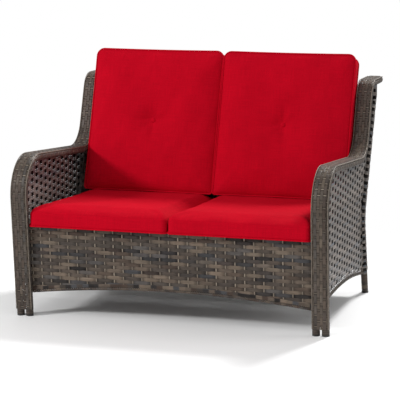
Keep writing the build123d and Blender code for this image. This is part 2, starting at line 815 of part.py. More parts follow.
for side, word in sides:
    left, right = sorted((side * cushion_gap / 2, side * cushion_out))

    with BuildPart() as seat_cover:
        loft(seat_levels(left, right, 0), ruled=True)
        loft(seat_levels(left, right, cover_thickness), ruled=True, mode=Mode.SUBTRACT)
    save(seat_cover.part, f"{word}_seat_cushion_cover")

    with BuildPart() as seat_core:
        loft(seat_levels(left, right, core_shrink), ruled=True)
    save(seat_core.part, f"{word}_seat_cushion_core")

    tuft_place = ((left + right) / 2, back_bottom(0) + tuft_height_share * (back_top - back_bottom(0)))
    with BuildPart() as back_cover:
        loft(back_levels(left, right, 0), ruled=True)
        add(tuft_pit(back_plane, tuft_place, 0).part, mode=Mode.SUBTRACT)
        with BuildPart(mode=Mode.PRIVATE) as back_hollow:
            loft(back_levels(left, right, cover_thickness), ruled=True)
            add(tuft_pit(back_plane, tuft_place, cover_thickness).part, mode=Mode.SUBTRACT)
        add(back_hollow.part, mode=Mode.SUBTRACT)
    save(back_cover.part, f"{word}_back_cushion_cover")

    with BuildPart() as back_core:
        loft(back_levels(left, right, core_shrink), ruled=True)
        add(tuft_pit(back_plane, tuft_place, core_shrink).part, mode=Mode.SUBTRACT)
    save(back_core.part, f"{word}_back_cushion_core")

    with BuildPart() as seat_piping:
        for level, inset, sewn in seat_level_shares:
            if sewn:
                seat_cord = piping(
                    seat_plane.offset(seat_lift + level * seat_cushion_thickness),
                    left + piping_pull,
                    right - piping_pull,
                    -seat_cushion_overhang + piping_pull,
                    seat_depth - fit_gap - piping_pull,
                    seat_side_draw,
                    seat_corner_radius + corner_growth_share * piping_pull,
                )
                add(seat_cord.part)
    save(seat_piping.part, f"{word}_seat_cushion_piping")

    with BuildPart() as back_piping:
        for level, inset, sewn in back_level_shares:
            if sewn:
                depth = back_lift + level * back_cushion_thickness
                back_cord = piping(
                    back_plane.offset(depth),
                    left + piping_pull,
                    right - piping_pull,
                    back_bottom(depth) + piping_pull,
                    back_top - piping_pull,
                    back_side_draw,
                    back_corner_radius + corner_growth_share * piping_pull,
                )
                add(back_cord.part)
    save(back_piping.part, f"{word}_back_cushion_piping")

    tuft_floor = back_lift + back_cushion_thickness - tuft_depth
    with BuildPart() as back_button:
        with BuildSketch(back_plane.offset(tuft_floor + fit_gap)):
            with Locations(tuft_place):
                Circle(button_radius)
        extrude(amount=button_height)
        fillet(
            back_button.faces().sort_by(Axis(back_plane.origin, back_plane.z_dir))[-1].edges(),
            radius=button_round,
        )
    save(back_button.part, f"{word}_back_cushion_button")
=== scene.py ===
"""Patio loveseat: flat woven resin over bent steel tubes, with four loose red cushions.

Metres, +X to the viewer's right, -Y to the front, +Z up, origin on the floor under the
middle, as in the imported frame. Woven pieces are flat strands carried along lines of a
surface; cushions are simulated covers with sewn piping and covered buttons.
"""

import json
import logging
import math
from collections.abc import Callable
from dataclasses import dataclass, field
from enum import Enum, IntEnum

import bpy
import numpy as np
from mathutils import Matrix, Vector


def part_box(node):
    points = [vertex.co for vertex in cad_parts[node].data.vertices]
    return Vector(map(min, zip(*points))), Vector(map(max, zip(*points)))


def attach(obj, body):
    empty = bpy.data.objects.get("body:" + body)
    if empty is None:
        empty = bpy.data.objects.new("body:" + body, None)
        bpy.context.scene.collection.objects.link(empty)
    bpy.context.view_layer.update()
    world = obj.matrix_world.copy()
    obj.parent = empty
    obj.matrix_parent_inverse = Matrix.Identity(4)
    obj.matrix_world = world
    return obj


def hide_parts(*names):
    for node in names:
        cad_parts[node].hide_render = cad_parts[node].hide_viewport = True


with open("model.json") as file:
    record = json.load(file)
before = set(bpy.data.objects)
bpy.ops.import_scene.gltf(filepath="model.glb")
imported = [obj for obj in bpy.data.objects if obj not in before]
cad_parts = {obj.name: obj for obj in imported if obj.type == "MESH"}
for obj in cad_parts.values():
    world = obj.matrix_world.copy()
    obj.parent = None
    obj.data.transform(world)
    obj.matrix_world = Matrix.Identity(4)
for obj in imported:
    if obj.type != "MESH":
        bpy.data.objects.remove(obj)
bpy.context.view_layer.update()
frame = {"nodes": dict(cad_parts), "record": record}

LOG = logging.getLogger("loveseat")
Array = np.ndarray
Surface = Callable[[Array, Array, Array], Array]
SIDES = {"left": -1, "right": 1}
Value = bpy.types.NodeSocket | float | tuple
FRAME_BODY = "frame"


def srgb(code: str) -> tuple[float, float, float]:
    """Linear colour of a six digit code: each channel is undone from its display curve."""
    channels = [int(code[k : k + 2], 16) / 255 for k in (0, 2, 4)]
    return tuple(c / 12.92 if c <= 0.04045 else ((c + 0.055) / 1.055) ** 2.4 for c in channels)


def rgba(code: str) -> tuple[float, float, float, float]:
    """Linear opaque colour of a six digit code."""
    return (*srgb(code), 1)


# Lines and surfaces


def distances(points: Array) -> Array:
    """Distances along a line of points from its first."""
    steps = np.linalg.norm(np.diff(points, axis=0), axis=1)
    return np.concatenate([[0], np.cumsum(steps)])


def round_angles(count: int) -> Array:
    """Evenly spaced angles once round."""
    return np.linspace(0, 2 * math.pi, count + 1)[:-1]


def quads(grid: Array) -> Array:
    """The four corners of each cell of a grid, in order round the cell."""
    return np.stack([grid[:-1, :-1], grid[:-1, 1:], grid[1:, 1:], grid[1:, :-1]], 2)


def rounded_line(corners: list[tuple[float, float]], radii: list[float], step: float) -> Array:
    """Points of a line of straight runs whose corners are arcs.

    At each corner the arc starts at radius times the tangent of half the turn from it,
    and its points turn evenly about the centre on the inner side.

    Args:
        corners: Corners in a plane, as pairs.
        radii: Arc radius of each inner corner.
        step: Spacing of the points, as near as it divides each run.

    Returns:
        Points, n by 2.
    """
    points = [np.array(corners[0], float)[None]]
    nodes = np.array(corners, float)
    start = nodes[0]
    for before, node, after, radius in zip(nodes, nodes[1:], nodes[2:], radii):
        way_in = (node - before) / np.linalg.norm(node - before)
        way_out = (after - node) / np.linalg.norm(after - node)
        turn = math.atan2(way_in[0] * way_out[1] - way_in[1] * way_out[0], way_in @ way_out)
        cut = radius * math.tan(abs(turn) / 2)
        first = node - way_in * cut
        inward = np.array([-way_in[1], way_in[0]]) * math.copysign(1, turn)
        centre = first + inward * radius
        run = max(2, round(np.linalg.norm(first - start) / step))
        points.append(start + (first - start) * np.linspace(0, 1, run + 1)[1:, None])
        bend = max(3, round(abs(turn) * radius / step))
        angles = np.linspace(0, turn, bend + 1)[1:]
        cos, sin = np.cos(angles), np.sin(angles)
        arm = first - centre
        arc = np.stack([arm[0] * cos - arm[1] * sin, arm[0] * sin + arm[1] * cos], 1)
        points.append(centre + arc)
        start = points[-1][-1]
    run = max(2, round(np.linalg.norm(nodes[-1] - start) / step))
    points.append(start + (nodes[-1] - start) * np.linspace(0, 1, run + 1)[1:, None])
    return np.concatenate(points)


def shifted(corners: list[tuple[float, float]], depth: float) -> list[tuple[float, float]]:
    """Moves a line of straight runs to the right of its travel.

    Args:
        corners: Corners in a plane, as pairs.
        depth: How far each run moves.

    Returns:
        Corners of the moved line.
    """
    nodes = np.array(corners, float)
    ways = np.diff(nodes, axis=0)
    ways /= np.linalg.norm(ways, axis=1)[:, None]
    rights = np.stack([ways[:, 1], -ways[:, 0]], 1)
    moved = [tuple(nodes[0] + rights[0] * depth)]
    for k in range(1, len(nodes) - 1):
        bisector = rights[k - 1] + rights[k]
        moved.append(tuple(nodes[k] + bisector * depth / (bisector @ rights[k])))
    moved.append(tuple(nodes[-1] + rights[-1] * depth))
    return moved


@dataclass
class Line:
    """A line in space with a fixed sideways direction, read by distance along it."""

    points: Array
    sideways: Array

    def __post_init__(self) -> None:
        """Works out the distances and the directions at the points."""
        self.reach = distances(self.points)
        self.length = float(self.reach[-1])
        self.ways = np.gradient(self.points, self.reach, axis=0)

    def at(self, along: Array) -> tuple[Array, Array, Array]:
        """Place, direction and outward normal at distances along the line.

        Past the ends the line goes straight on. The normal is the sideways direction
        crossed with the direction of travel.

        Args:
            along: Distances from the line's start.

        Returns:
            Places, unit directions of travel and unit normals.
        """
        inside = np.clip(along, 0, self.length)
        place = np.stack([np.interp(inside, self.reach, self.points[:, k]) for k in range(3)], -1)
        way = np.stack([np.interp(inside, self.reach, self.ways[:, k]) for k in range(3)], -1)
        way /= np.linalg.norm(way, axis=-1)[..., None]
        place = place + way * (along - inside)[..., None]
        normal = np.cross(self.sideways, way)
        normal /= np.linalg.norm(normal, axis=-1)[..., None]
        return place, way, normal


@dataclass
class TubeSurface:
    """Surface of a round tube on a line: first is the distance, second the angle round it."""

    line: Line
    radius: float

    def __call__(self, first: Array, second: Array, lift: Array) -> Array:
        """Point at a distance, an angle and a lift off the tube."""
        place, way, normal = self.line.at(first)
        across = np.cross(way, normal)
        arm = (self.radius + lift)[..., None]
        cos, sin = np.cos(second)[..., None], np.sin(second)[..., None]
        return place + arm * (cos * normal + sin * across)


@dataclass
class SlotSurface:
    """Surface of the skin round two parallel tubes: first is the distance along the band,
    second the distance round its section from the middle of its face."""

    line: Line
    half_spacing: float
    radius: float

    @property
    def girth(self) -> float:
        """Length once round the section: two flats and two half circles."""
        return 4 * self.half_spacing + 2 * math.pi * self.radius

    def __call__(self, first: Array, second: Array, lift: Array) -> Array:
        """Point at a distance along, a distance round and a lift off the skin.

        Going round: half the face, a half circle, the rear flat, a half circle and the
        other half of the face. The lift runs along the section's own normal.
        """
        place, _, normal = self.line.at(first)
        half, bend = self.half_spacing, math.pi * self.radius
        run = np.mod(second, self.girth)
        angle = np.clip((run - half) / self.radius, 0, math.pi)
        angle += np.clip((run - 3 * half - bend) / self.radius, 0, math.pi)
        lateral = np.clip(run, 0, half) - np.clip(run - half - bend, 0, 2 * half)
        lateral += np.clip(run - 3 * half - 2 * bend, 0, half)
        arm = self.radius + lift
        sideways = (lateral + arm * np.sin(angle))[..., None] * self.line.sideways
        return place + sideways + (arm * np.cos(angle))[..., None] * normal


@dataclass
class PlaneSurface:
    """Flat surface: first and second are distances along its two directions."""

    origin: Array
    across: Array
    up: Array

    def __post_init__(self) -> None:
        """Works out the outward normal, across crossed with up."""
        self.normal = np.cross(self.across, self.up)

    def __call__(self, first: Array, second: Array, lift: Array) -> Array:
        """Point at two distances and a lift off the plane."""
        flat = first[..., None] * self.across + second[..., None] * self.up
        return self.origin + flat + lift[..., None] * self.normal


# Meshes


class Mesher:
    """Gathers grids of points into one mesh with a tone and a run coordinate on each point.

    Edges that turn by more than the sharp angle keep their crease.
    """

    sharp = math.radians(25)

    def __init__(self) -> None:
        """Starts empty."""
        self.points: list[Array] = []
        self.faces: list[Array] = []
        self.tones: list[Array] = []
        self.runs: list[Array] = []
        self.count = 0

    def grid(self, points: Array, tone: Array, run: Array, around: bool, ring: bool) -> None:
        """Adds a grid of points, n by k by 3.

        Args:
            points: Points, rows along the piece and columns across or around it.
            tone: Colour of the whole grid, of each row or of each point, with three channels.
            run: Distances along and across and a strand number, n by k by 3.
            around: Whether the last column joins the first.
            ring: Whether the last row joins the first; otherwise a closed section is capped.
        """
        rows, columns = points.shape[:2]
        index = self.count + np.arange(rows * columns).reshape(rows, columns)
        if around:
            index = np.concatenate([index, index[:, :1]], 1)
        if ring:
            index = np.concatenate([index, index[:1]], 0)
        quads = np.stack([index[:-1, :-1], index[1:, :-1], index[1:, 1:], index[:-1, 1:]], -1)
        self.faces.append(quads.reshape(-1, 4))
        if around and not ring:
            half = columns // 2
            for edge, turn in ((index[0], 1), (index[-1], -1)):
                left = edge[:half]
                right = edge[:columns][::-1][:half]
                caps = np.stack([left[:-1], left[1:], right[1:], right[:-1]], -1)
                self.faces.append(caps[:, ::turn])
        self.points.append(points.reshape(-1, 3))
        tone = np.asarray(tone, float)
        if tone.ndim < 3:
            tone = tone.reshape(-1, 1, 3)
        tones = np.broadcast_to(tone, points.shape)
        self.tones.append(tones.reshape(-1, 3))
        self.runs.append(np.broadcast_to(run, points.shape).reshape(-1, 3))
        self.count += rows * columns

    def build(self, name: str, finish: bpy.types.Material) -> bpy.types.Object:
        """Makes the object, with the tone and run as point attributes."""
        mesh = bpy.data.meshes.new(name)
        points, faces = np.concatenate(self.points), np.concatenate(self.faces)
        mesh.vertices.add(len(points))
        mesh.vertices.foreach_set("co", points.astype(np.float32).ravel())
        mesh.loops.add(faces.size)
        mesh.loops.foreach_set("vertex_index", faces.astype(np.int32).ravel())
        mesh.polygons.add(len(faces))
        mesh.polygons.foreach_set("loop_start", np.arange(0, faces.size, 4, dtype=np.int32))
        mesh.polygons.foreach_set("use_smooth", np.ones(len(faces), bool))
        mesh.update(calc_edges=True)
        tone = mesh.attributes.new("tone", "FLOAT_COLOR", "POINT")
        colours = np.concatenate([np.concatenate(self.tones), np.ones((len(points), 1))], 1)
        tone.data.foreach_set("color", colours.astype(np.float32).ravel())
        run = mesh.attributes.new("run", "FLOAT_VECTOR", "POINT")
        run.data.foreach_set("vector", np.concatenate(self.runs).astype(np.float32).ravel())
        mesh.set_sharp_from_angle(angle=self.sharp)
        mesh.materials.append(finish)
        piece = bpy.data.objects.new(name, mesh)
        bpy.context.scene.collection.objects.link(piece)
        return piece


@dataclass(frozen=True)
class Strand:
    """A flat strand: a rounded bar, wider than thick, with six points round its section."""

    width: float
    thickness: float
    flat_share: float = 0.80

    def section(self) -> tuple[Array, Array]:
        """Offsets across and off the surface: the two edges and four points of the flats."""
        flat = self.flat_share
        across = np.array([-1, -flat, flat, 1, flat, -flat])
        off = np.array([0, 1, 1, 0, -1, -1])
        return across * self.width / 2, off * self.thickness / 2


class Seed(IntEnum):
    """Seeds of the strands' tones."""

    BAND = 11
    HOOP = 21
    POST = 51
    POST_FOOT = 61
    SIDE_BEAD = 71
    APRON_BEAD = 81


class Across(Enum):
    """Which of a surface's two distances a strand is wide in."""

    FIRST = "first"
    SECOND = "second"


@dataclass
class Strands:
    """Lays flat strands on surfaces into one mesh, each with its own tone from a palette."""

    palette: list[tuple[float, float, float]]
    seed: int
    mesher: Mesher = field(default_factory=Mesher)

    def __post_init__(self) -> None:
        """Seeds the choice of tones."""
        self.random = np.random.default_rng(self.seed)
        self.number = 0

    def pick(self, count: int, own: float = 1.0) -> Array:
        """Tones picked from the palette, each made a little lighter or darker.

        Args:
            count: How many tones.
            own: Share of each tone that is its own; the rest is common to all of them.
        """
        tones = np.array(self.palette)[self.random.integers(len(self.palette), size=count + 1)]
        tones = tones[:-1] * own + tones[-1] * (1 - own)
        return tones * self.random.uniform(0.86, 1.14, (count, 1))

    def lay(
        self, surface: Surface, first: Array, second: Array, lift: Array, strand: Strand,
        across: Across, ring: bool = False, share: Array | None = None, tone: Array | None = None,
    ) -> None:
        """Carries a strand's section along a line of a surface.

        Each row of the grid is the line's point with the section's offsets added to the
        distance that the strand is wide in and to the lift.

        Args:
            surface: The surface that the strand lies on.
            first: First distance of the line's points.
            second: Second distance of the line's points.
            lift: Height of the line's points off the surface.
            strand: Width and thickness.
            across: The distance that the strand is wide in.
            ring: Whether the strand closes on itself.
            share: Share of the width at each point, where it isn't whole.
            tone: Tone at each point of the line or of the section, where it isn't one tone.
        """
        wide, off = strand.section()
        if share is not None:
            wide = share[:, None] * wide
        flat = np.zeros_like(wide)
        first, second = np.broadcast_arrays(first, second)
        add_first, add_second = (wide, flat) if across is Across.FIRST else (flat, wide)
        points = surface(
            first[:, None] + add_first, second[:, None] + add_second, lift[:, None] + off
        )
        along = distances(points[:, 0])
        run = np.stack(np.broadcast_arrays(along[:, None], wide, float(self.number)), -1)
        if tone is None:
            tone = self.pick(1)[0]
        self.mesher.grid(points, tone, run, around=True, ring=ring)
        self.number += 1


def outward(strands: Strands, name: str, finish: bpy.types.Material) -> bpy.types.Object:
    """Builds the strands' mesh with its faces turned outwards.

    Each strand is a closed shell, so the whole is turned round where its volume, the
    sum over its faces of a third of the corner dotted with the area, is negative.
    """
    points = np.concatenate(strands.mesher.points)
    faces = np.concatenate(strands.mesher.faces)
    a, b, c, d = (points[faces[:, k]] for k in range(4))
    volume = np.einsum("ij,ij->i", a, np.cross(b - a, c - a) + np.cross(c - a, d - a)).sum() / 6
    if volume < 0:
        strands.mesher.faces = [part[:, ::-1] for part in strands.mesher.faces]
    return strands.mesher.build(name, finish)


def intervals(outline: Array, axis: int, value: float) -> list[tuple[float, float]]:
    """Where the line on which one coordinate has a value lies inside a closed outline.

    The outline's edges that pass the value are cut there, and the sorted cuts pair up.
    """
    ends = np.roll(outline, -1, axis=0)
    low, high = outline[:, axis] - value, ends[:, axis] - value
    cut = low * high < 0
    share = low[cut] / (low[cut] - high[cut])
    other = 1 - axis
    places = np.sort(outline[cut, other] + share * (ends[cut, other] - outline[cut, other]))
    return [(float(a), float(b)) for a, b in zip(places[::2], places[1::2])]


@dataclass(frozen=True)
class Weave:
    """Flat weavers that pass in front of some stakes and dip behind the next.

    The dips of each next row lie one stake further back, so that they climb in steps.
    """

    weaver: Strand
    stake: Strand
    row_pitch: float
    stake_pitch: float
    over: int = 1
    dip: float = 0.011
    narrow: float = 0.8
    step: float = 0.0044
    end_tuck: float = 0.003
    slack: float = 0.0002
    # Share of painted shade in the recesses at the stakes.
    shade: float = 0.62
    ply: int = 1
    steep: float = 1.0
    own: float = 0.4

    @property
    def swing(self) -> float:
        """How far a weaver's middle lies in front of or behind the stakes' middle."""
        return (self.weaver.thickness + self.stake.thickness) / 2 + self.slack

    def run(
        self, strands: Strands, start: float, end: float, first_dip: float, pitch: float
    ) -> tuple[Array, Array, Array, Array]:
        """Places, lifts, width shares and tones along one weaver.

        The dip is half of one plus the cosine of the distance to the nearest dip, in
        half widths of the dip, made steeper and cut off at one. The lift falls from the
        swing to its opposite by it, and the width narrows by it. Each float between two
        dips has its own tone. Painted shade darkens it by up to the shade share: its
        front face at the dips, where it lies in the recess behind the stakes, and its
        back face halfway between them, where the stake passes behind it.

        Args:
            strands: Picks the tones.
            start: Where the weaver starts.
            end: Where it ends.
            first_dip: Place of one of the dips.
            pitch: Distance from dip to dip.

        Returns:
            Places, lifts, width shares, and tones of the section's points.
        """
        count = max(6, round((end - start) / self.step))
        run = np.linspace(start, end, count + 1)
        turn = (run - first_dip) / pitch
        gap = np.abs(turn - np.round(turn)) * pitch
        down, up = (
            np.minimum(self.steep * (1 + np.cos(math.pi * np.minimum(d / self.dip, 1))) / 2, 1)
            for d in (gap, pitch / 2 - gap)
        )
        number = np.floor(turn).astype(int)
        number -= number.min()
        behind = self.weaver.section()[1] < 0
        # Painted shade: outer points darken at the dips, inner points halfway between them.
        dark = 1 - self.shade * np.where(behind, up[:, None], down[:, None])
        tone = strands.pick(number.max() + 1, self.own)[number][:, None] * dark[..., None]
        return run, self.swing * (1 - 2 * down), 1 - (1 - self.narrow) * down, tone

    def fill(self, weavers: Strands, stakes: Strands, surface: Surface, outline: Array) -> None:
        """Weaves the inside of an outline on a surface.

        Args:
            weavers: Gathers the weavers, which run along the first distance.
            stakes: Gathers the stakes, which run along the second distance.
            surface: The surface to weave on.
            outline: Closed outline in the surface's two distances.
        """
        low, high = outline.min(0), outline.max(0)
        middle = (low[0] + high[0]) / 2
        rows = math.floor((high[1] - low[1]) / self.row_pitch)
        top = high[1] - self.row_pitch / 2
        period = (self.over + 1) * self.stake_pitch
        for row in range(rows + 1):
            level = top - row * self.row_pitch
            first_dip = middle - row % (self.over + 1) * self.stake_pitch
            for start, end in intervals(outline, 1, level):
                if end - start < 2 * self.row_pitch:
                    continue
                start, end = start - self.end_tuck, end + self.end_tuck
                for strand in range(self.ply):
                    place = level + (strand - (self.ply - 1) / 2) * self.row_pitch / self.ply
                    run, lift, share, tone = self.run(weavers, start, end, first_dip, period)
                    weavers.lay(
                        surface, run, np.full_like(run, place), lift, self.weaver, Across.SECOND,
                        share=share, tone=tone,
                    )
        half = math.ceil((high[0] - low[0]) / 2 / self.stake_pitch)
        for number in range(-half, half + 1):
            place = middle + number * self.stake_pitch
            for start, end in intervals(outline, 0, place):
                if end - start < 2 * self.row_pitch:
                    continue
                run = np.linspace(start - self.end_tuck, end + self.end_tuck, 24)
                stakes.lay(
                    surface, np.full_like(run, place), run, np.zeros_like(run), self.stake,
                    Across.FIRST,
                )


# Finishes


class Palette(Enum):
    """Tones of the resin strands, as the display shows them."""

    APRON = ("574c43", "3f3833", "62574c", "2e2b2b", "695c50", "40342d", "414143", "292625")
    SIDE = ("746d68", "67625f", "7f7771", "5c6066", "837a73", "6a625c", "6e6b68")
    BAND = ("4f463f", "453c36", "584e45", "3d3733", "5b5147", "493e37", "4c4743")
    STAKE = ("857a6d", "72685d")
    DARK = ("221e1d", "1c1918", "282220")
    # Painted shadow: near black stakes for the side panels, standing for the shade seen in the
    # weave's windows.
    WINDOW_SHADE = ("0d0b0b", "110f0f")

    @property
    def tones(self) -> list[tuple[float, float, float]]:
        """The tones as linear colours."""
        return [srgb(code) for code in self.value]


class Shader:
    """A Principled material and its node tree."""

    def __init__(self, name: str) -> None:
        """Starts a material with one Principled shader."""
        self.material = bpy.data.materials.new(name)
        self.material.use_nodes = True
        self.tree = self.material.node_tree
        self.bsdf = self.tree.nodes["Principled BSDF"]

    def node(self, kind: str, inputs: dict | None = None, **settings) -> bpy.types.Node:
        """Adds a node, sets its fields, and sets or links its inputs by name or number."""
        made = self.tree.nodes.new(kind)
        for key, value in settings.items():
            setattr(made, key, value)
        for key, value in (inputs or {}).items():
            self.feed(made, key, value)
        return made

    def feed(self, node: bpy.types.Node, key: str | int, value: Value) -> None:
        """Sets an input, or links it where the value is another node's output."""
        socket = node.inputs[key]
        if isinstance(value, bpy.types.NodeSocket):
            self.tree.links.new(value, socket)
        else:
            socket.default_value = value

    def place(self) -> bpy.types.NodeSocket:
        """Object coordinates."""
        return self.node("ShaderNodeTexCoord").outputs["Object"]

    def times(self, first: Value, second: Value) -> bpy.types.NodeSocket:
        """Multiplies two colours."""
        made = self.node("ShaderNodeMix", data_type="RGBA", blend_type="MULTIPLY")
        self.feed(made, 0, 1.0)
        self.feed(made, 6, first)
        self.feed(made, 7, second)
        return made.outputs[2]

    def ramp(
        self, value: Value, low: float, high: float, dark: float, light: float
    ) -> bpy.types.NodeSocket:
        """Maps a value from one range to another and returns the result."""
        made = self.node("ShaderNodeMapRange")
        self.feed(made, 0, value)
        for key, number in enumerate((low, high, dark, light), 1):
            made.inputs[key].default_value = number
        return made.outputs[0]

    def noise(
        self, vector: Value, scale: tuple[float, float, float], detail: float
    ) -> bpy.types.NodeSocket:
        """Noise on a coordinate stretched by a scale on each axis."""
        mapping = self.node("ShaderNodeMapping", {0: vector, 3: scale})
        made = self.node("ShaderNodeTexNoise", {0: mapping.outputs[0]})
        made.inputs["Scale"].default_value = 1.0
        made.inputs["Detail"].default_value = detail
        return made.outputs[0]

    def bump(self, height: Value, depth: float, strength: float) -> bpy.types.NodeSocket:
        """Bump from a height from 0 to 1 over a depth in metres."""
        made = self.node("ShaderNodeBump", {"Height": height})
        made.inputs["Distance"].default_value = depth
        made.inputs["Strength"].default_value = strength
        return made.outputs[0]

    def attribute(self, name: str, output: str) -> bpy.types.NodeSocket:
        """Output of a mesh attribute."""
        made = self.node("ShaderNodeAttribute")
        made.attribute_name = name
        return made.outputs[output]

    def set(self, **values: Value) -> None:
        """Sets or links the Principled shader's inputs, with spaces for underscores."""
        for key, value in values.items():
            self.feed(self.bsdf, key.replace("_", " "), value)


@dataclass(frozen=True)
class StrandResin:
    """Flat extruded resin strand: its tone attribute, the strand's own colour with painted shade at
    the weave's dips, with streaks and fine ribs along it.
    """

    name: str
    roughness: float = 0.44
    streaks: tuple[float, float] = (0.72, 1.3)
    rib_depth: float = 0.00025
    specular: float = 0.2

    def build(self) -> bpy.types.Material:
        """Material on the strands' tone and run attributes."""
        shader = Shader(self.name)
        run = shader.attribute("run", "Vector")
        streak = shader.noise(run, (9, 900, 7.3), 3)
        patch = shader.noise(run, (26, 60, 3.1), 2)
        shade = shader.ramp(streak, 0.3, 0.7, *self.streaks)
        tone = shader.times(shader.attribute("tone", "Color"), shade)
        wear = shader.ramp(patch, 0.35, 0.7, 0.86, 1.16)
        tone = shader.times(tone, wear)
        ribs = shader.noise(run, (5, 2300, 1.7), 1)
        shader.set(
            Base_Color=tone,
            Roughness=shader.ramp(patch, 0.3, 0.7, self.roughness - 0.07, self.roughness + 0.09),
            Specular_IOR_Level=shader.ramp(
                shader.attribute("tone", "Fac"), 0.008, 0.03, 0.0, self.specular
            ),
            Normal=shader.bump(ribs, self.rib_depth, 0.6),
        )
        return shader.material


@dataclass(frozen=True)
class PowderCoat:
    """Powder coated steel: dark, satin, with the fine pebble of baked powder."""

    name: str = "powder_coated_steel"
    tone: str = "2e2a28"

    def build(self) -> bpy.types.Material:
        """Material on Object coordinates."""
        shader = Shader(self.name)
        place = shader.place()
        pebble = shader.noise(place, (1400, 1400, 1400), 1)
        patch = shader.noise(place, (25, 25, 25), 3)
        tone = shader.times(rgba(self.tone), shader.ramp(patch, 0.3, 0.7, 0.8, 1.2))
        shader.set(
            Base_Color=tone,
            Roughness=shader.ramp(patch, 0.3, 0.7, 0.38, 0.5),
            Normal=shader.bump(pebble, 0.00012, 0.5),
        )
        return shader.material


@dataclass(frozen=True)
class MouldedPlastic:
    """Moulded plastic with a fine spark-eroded grain."""

    name: str
    tone: str
    roughness: float = 0.55

    def build(self) -> bpy.types.Material:
        """Material on Object coordinates."""
        shader = Shader(self.name)
        place = shader.place()
        grain = shader.noise(place, (2600, 2600, 2600), 1)
        scuff = shader.noise(place, (140, 140, 140), 4)
        tone = shader.times(rgba(self.tone), shader.ramp(scuff, 0.4, 0.75, 0.9, 1.35))
        shader.set(
            Base_Color=tone,
            Roughness=shader.ramp(scuff, 0.3, 0.7, self.roughness - 0.08, self.roughness + 0.1),
            Normal=shader.bump(grain, 0.0001, 0.5),
        )
        return shader.material


@dataclass(frozen=True)
class ZincSteel:
    """Zinc plated steel with a brushed, slightly clouded face."""

    name: str = "zinc_plated_steel"
    tone: str = "b9bcc0"

    def build(self) -> bpy.types.Material:
        """Material on Object coordinates."""
        shader = Shader(self.name)
        place = shader.place()
        cloud = shader.noise(place, (220, 220, 220), 3)
        brushed = shader.noise(place, (300, 300, 5000), 2)
        tone = shader.times(rgba(self.tone), shader.ramp(cloud, 0.3, 0.7, 0.8, 1.05))
        shader.set(
            Base_Color=tone,
            Metallic=1.0,
            Roughness=shader.ramp(cloud, 0.3, 0.7, 0.28, 0.42),
            Normal=shader.bump(brushed, 0.00005, 0.6),
        )
        return shader.material


@dataclass(frozen=True)
class WrappedResin:
    """Flat resin strand wound turn beside turn, seen as a dark ribbed sleeve."""

    name: str
    across: str
    tone: str = "473f39"
    turns_per_metre: float = 122

    def build(self) -> bpy.types.Material:
        """Material on Object coordinates, with the turns as bands across one axis and painted shade
        in the grooves between them.
        """
        shader = Shader(self.name)
        place = shader.place()
        turns = shader.node("ShaderNodeTexWave", {0: place}, bands_direction=self.across)
        turns.inputs["Scale"].default_value = self.turns_per_metre * 2 * math.pi / 20
        turns.inputs["Distortion"].default_value = 0.4
        patch = shader.noise(place, (60, 60, 260), 3)
        tone = shader.times(rgba(self.tone), shader.ramp(patch, 0.3, 0.7, 0.7, 1.3))
        # Painted shade: the grooves between the turns are darkened down to 0.45 of the tone.
        tone = shader.times(tone, shader.ramp(turns.outputs[1], 0.0, 0.35, 0.45, 1.0))
        shader.set(
            Base_Color=tone,
            Roughness=shader.ramp(patch, 0.3, 0.7, 0.4, 0.52),
            Specular_IOR_Level=0.22,
            Normal=shader.bump(turns.outputs[1], 0.0009, 0.7),
        )
        return shader.material


@dataclass(frozen=True)
class EdgeCord:
    """Round resin cord with a faint twist, lighter than the weave."""

    name: str = "resin_edge_cord"
    tone: str = "6f655a"

    def build(self) -> bpy.types.Material:
        """Material on Object coordinates, with the twist as slanted bands."""
        shader = Shader(self.name)
        place = shader.place()
        twist = shader.node("ShaderNodeTexWave", {0: place}, bands_direction="DIAGONAL")
        twist.inputs["Scale"].default_value = 190
        twist.inputs["Distortion"].default_value = 1.5
        patch = shader.noise(place, (90, 90, 90), 3)
        tone = shader.times(rgba(self.tone), shader.ramp(patch, 0.3, 0.7, 0.62, 1.15))
        shader.set(
            Base_Color=tone,
            Roughness=0.5,
            Normal=shader.bump(twist.outputs[1], 0.0003, 0.5),
        )
        return shader.material


@dataclass(frozen=True)
class CushionCloth:
    """Plain woven polyester: fine crossing yarns on the piece's own UV map, slightly uneven."""

    name: str
    tone: str = "b8051d"
    yarns_per_metre: float = 1150

    def build(self) -> bpy.types.Material:
        """Material on the cloth's UV map, whose unit is the metre."""
        shader = Shader(self.name)
        cloth = shader.node("ShaderNodeUVMap", uv_map="cloth").outputs[0]
        split = shader.node("ShaderNodeSeparateXYZ", {0: cloth})
        waves = []
        for output in (0, 1):
            turn = shader.node("ShaderNodeMath", {0: split.outputs[output]}, operation="MULTIPLY")
            turn.inputs[1].default_value = math.pi * self.yarns_per_metre
            wave = shader.node("ShaderNodeMath", {0: turn.outputs[0]}, operation="SINE")
            square = shader.node("ShaderNodeMath", {0: wave.outputs[0]}, operation="ABSOLUTE")
            waves.append(square.outputs[0])
        weave = shader.node("ShaderNodeMath", {0: waves[0], 1: waves[1]}, operation="MULTIPLY")
        slub = shader.noise(cloth, (14, 420, 1), 3)
        slub_across = shader.noise(cloth, (420, 14, 1), 3)
        patch = shader.noise(cloth, (6, 6, 1), 3)
        uneven = shader.node("ShaderNodeMath", {0: slub, 1: slub_across}, operation="ADD")
        shade = shader.ramp(uneven.outputs[0], 0.7, 1.3, 0.88, 1.1)
        tone = shader.times(rgba(self.tone), shade)
        tone = shader.times(tone, shader.ramp(patch, 0.3, 0.7, 0.95, 1.05))
        tone = shader.times(tone, shader.ramp(weave.outputs[0], 0, 1, 0.86, 1.06))
        shader.set(
            Base_Color=tone,
            Roughness=0.85,
            Sheen_Weight=0.02,
            Sheen_Roughness=0.5,
            Sheen_Tint=(1.0, 0.1, 0.15, 1.0),
            Specular_IOR_Level=0.03,
            Normal=shader.bump(weave.outputs[0], 0.0002, 0.5),
        )
        return shader.material


# Sub-assemblies of the frame


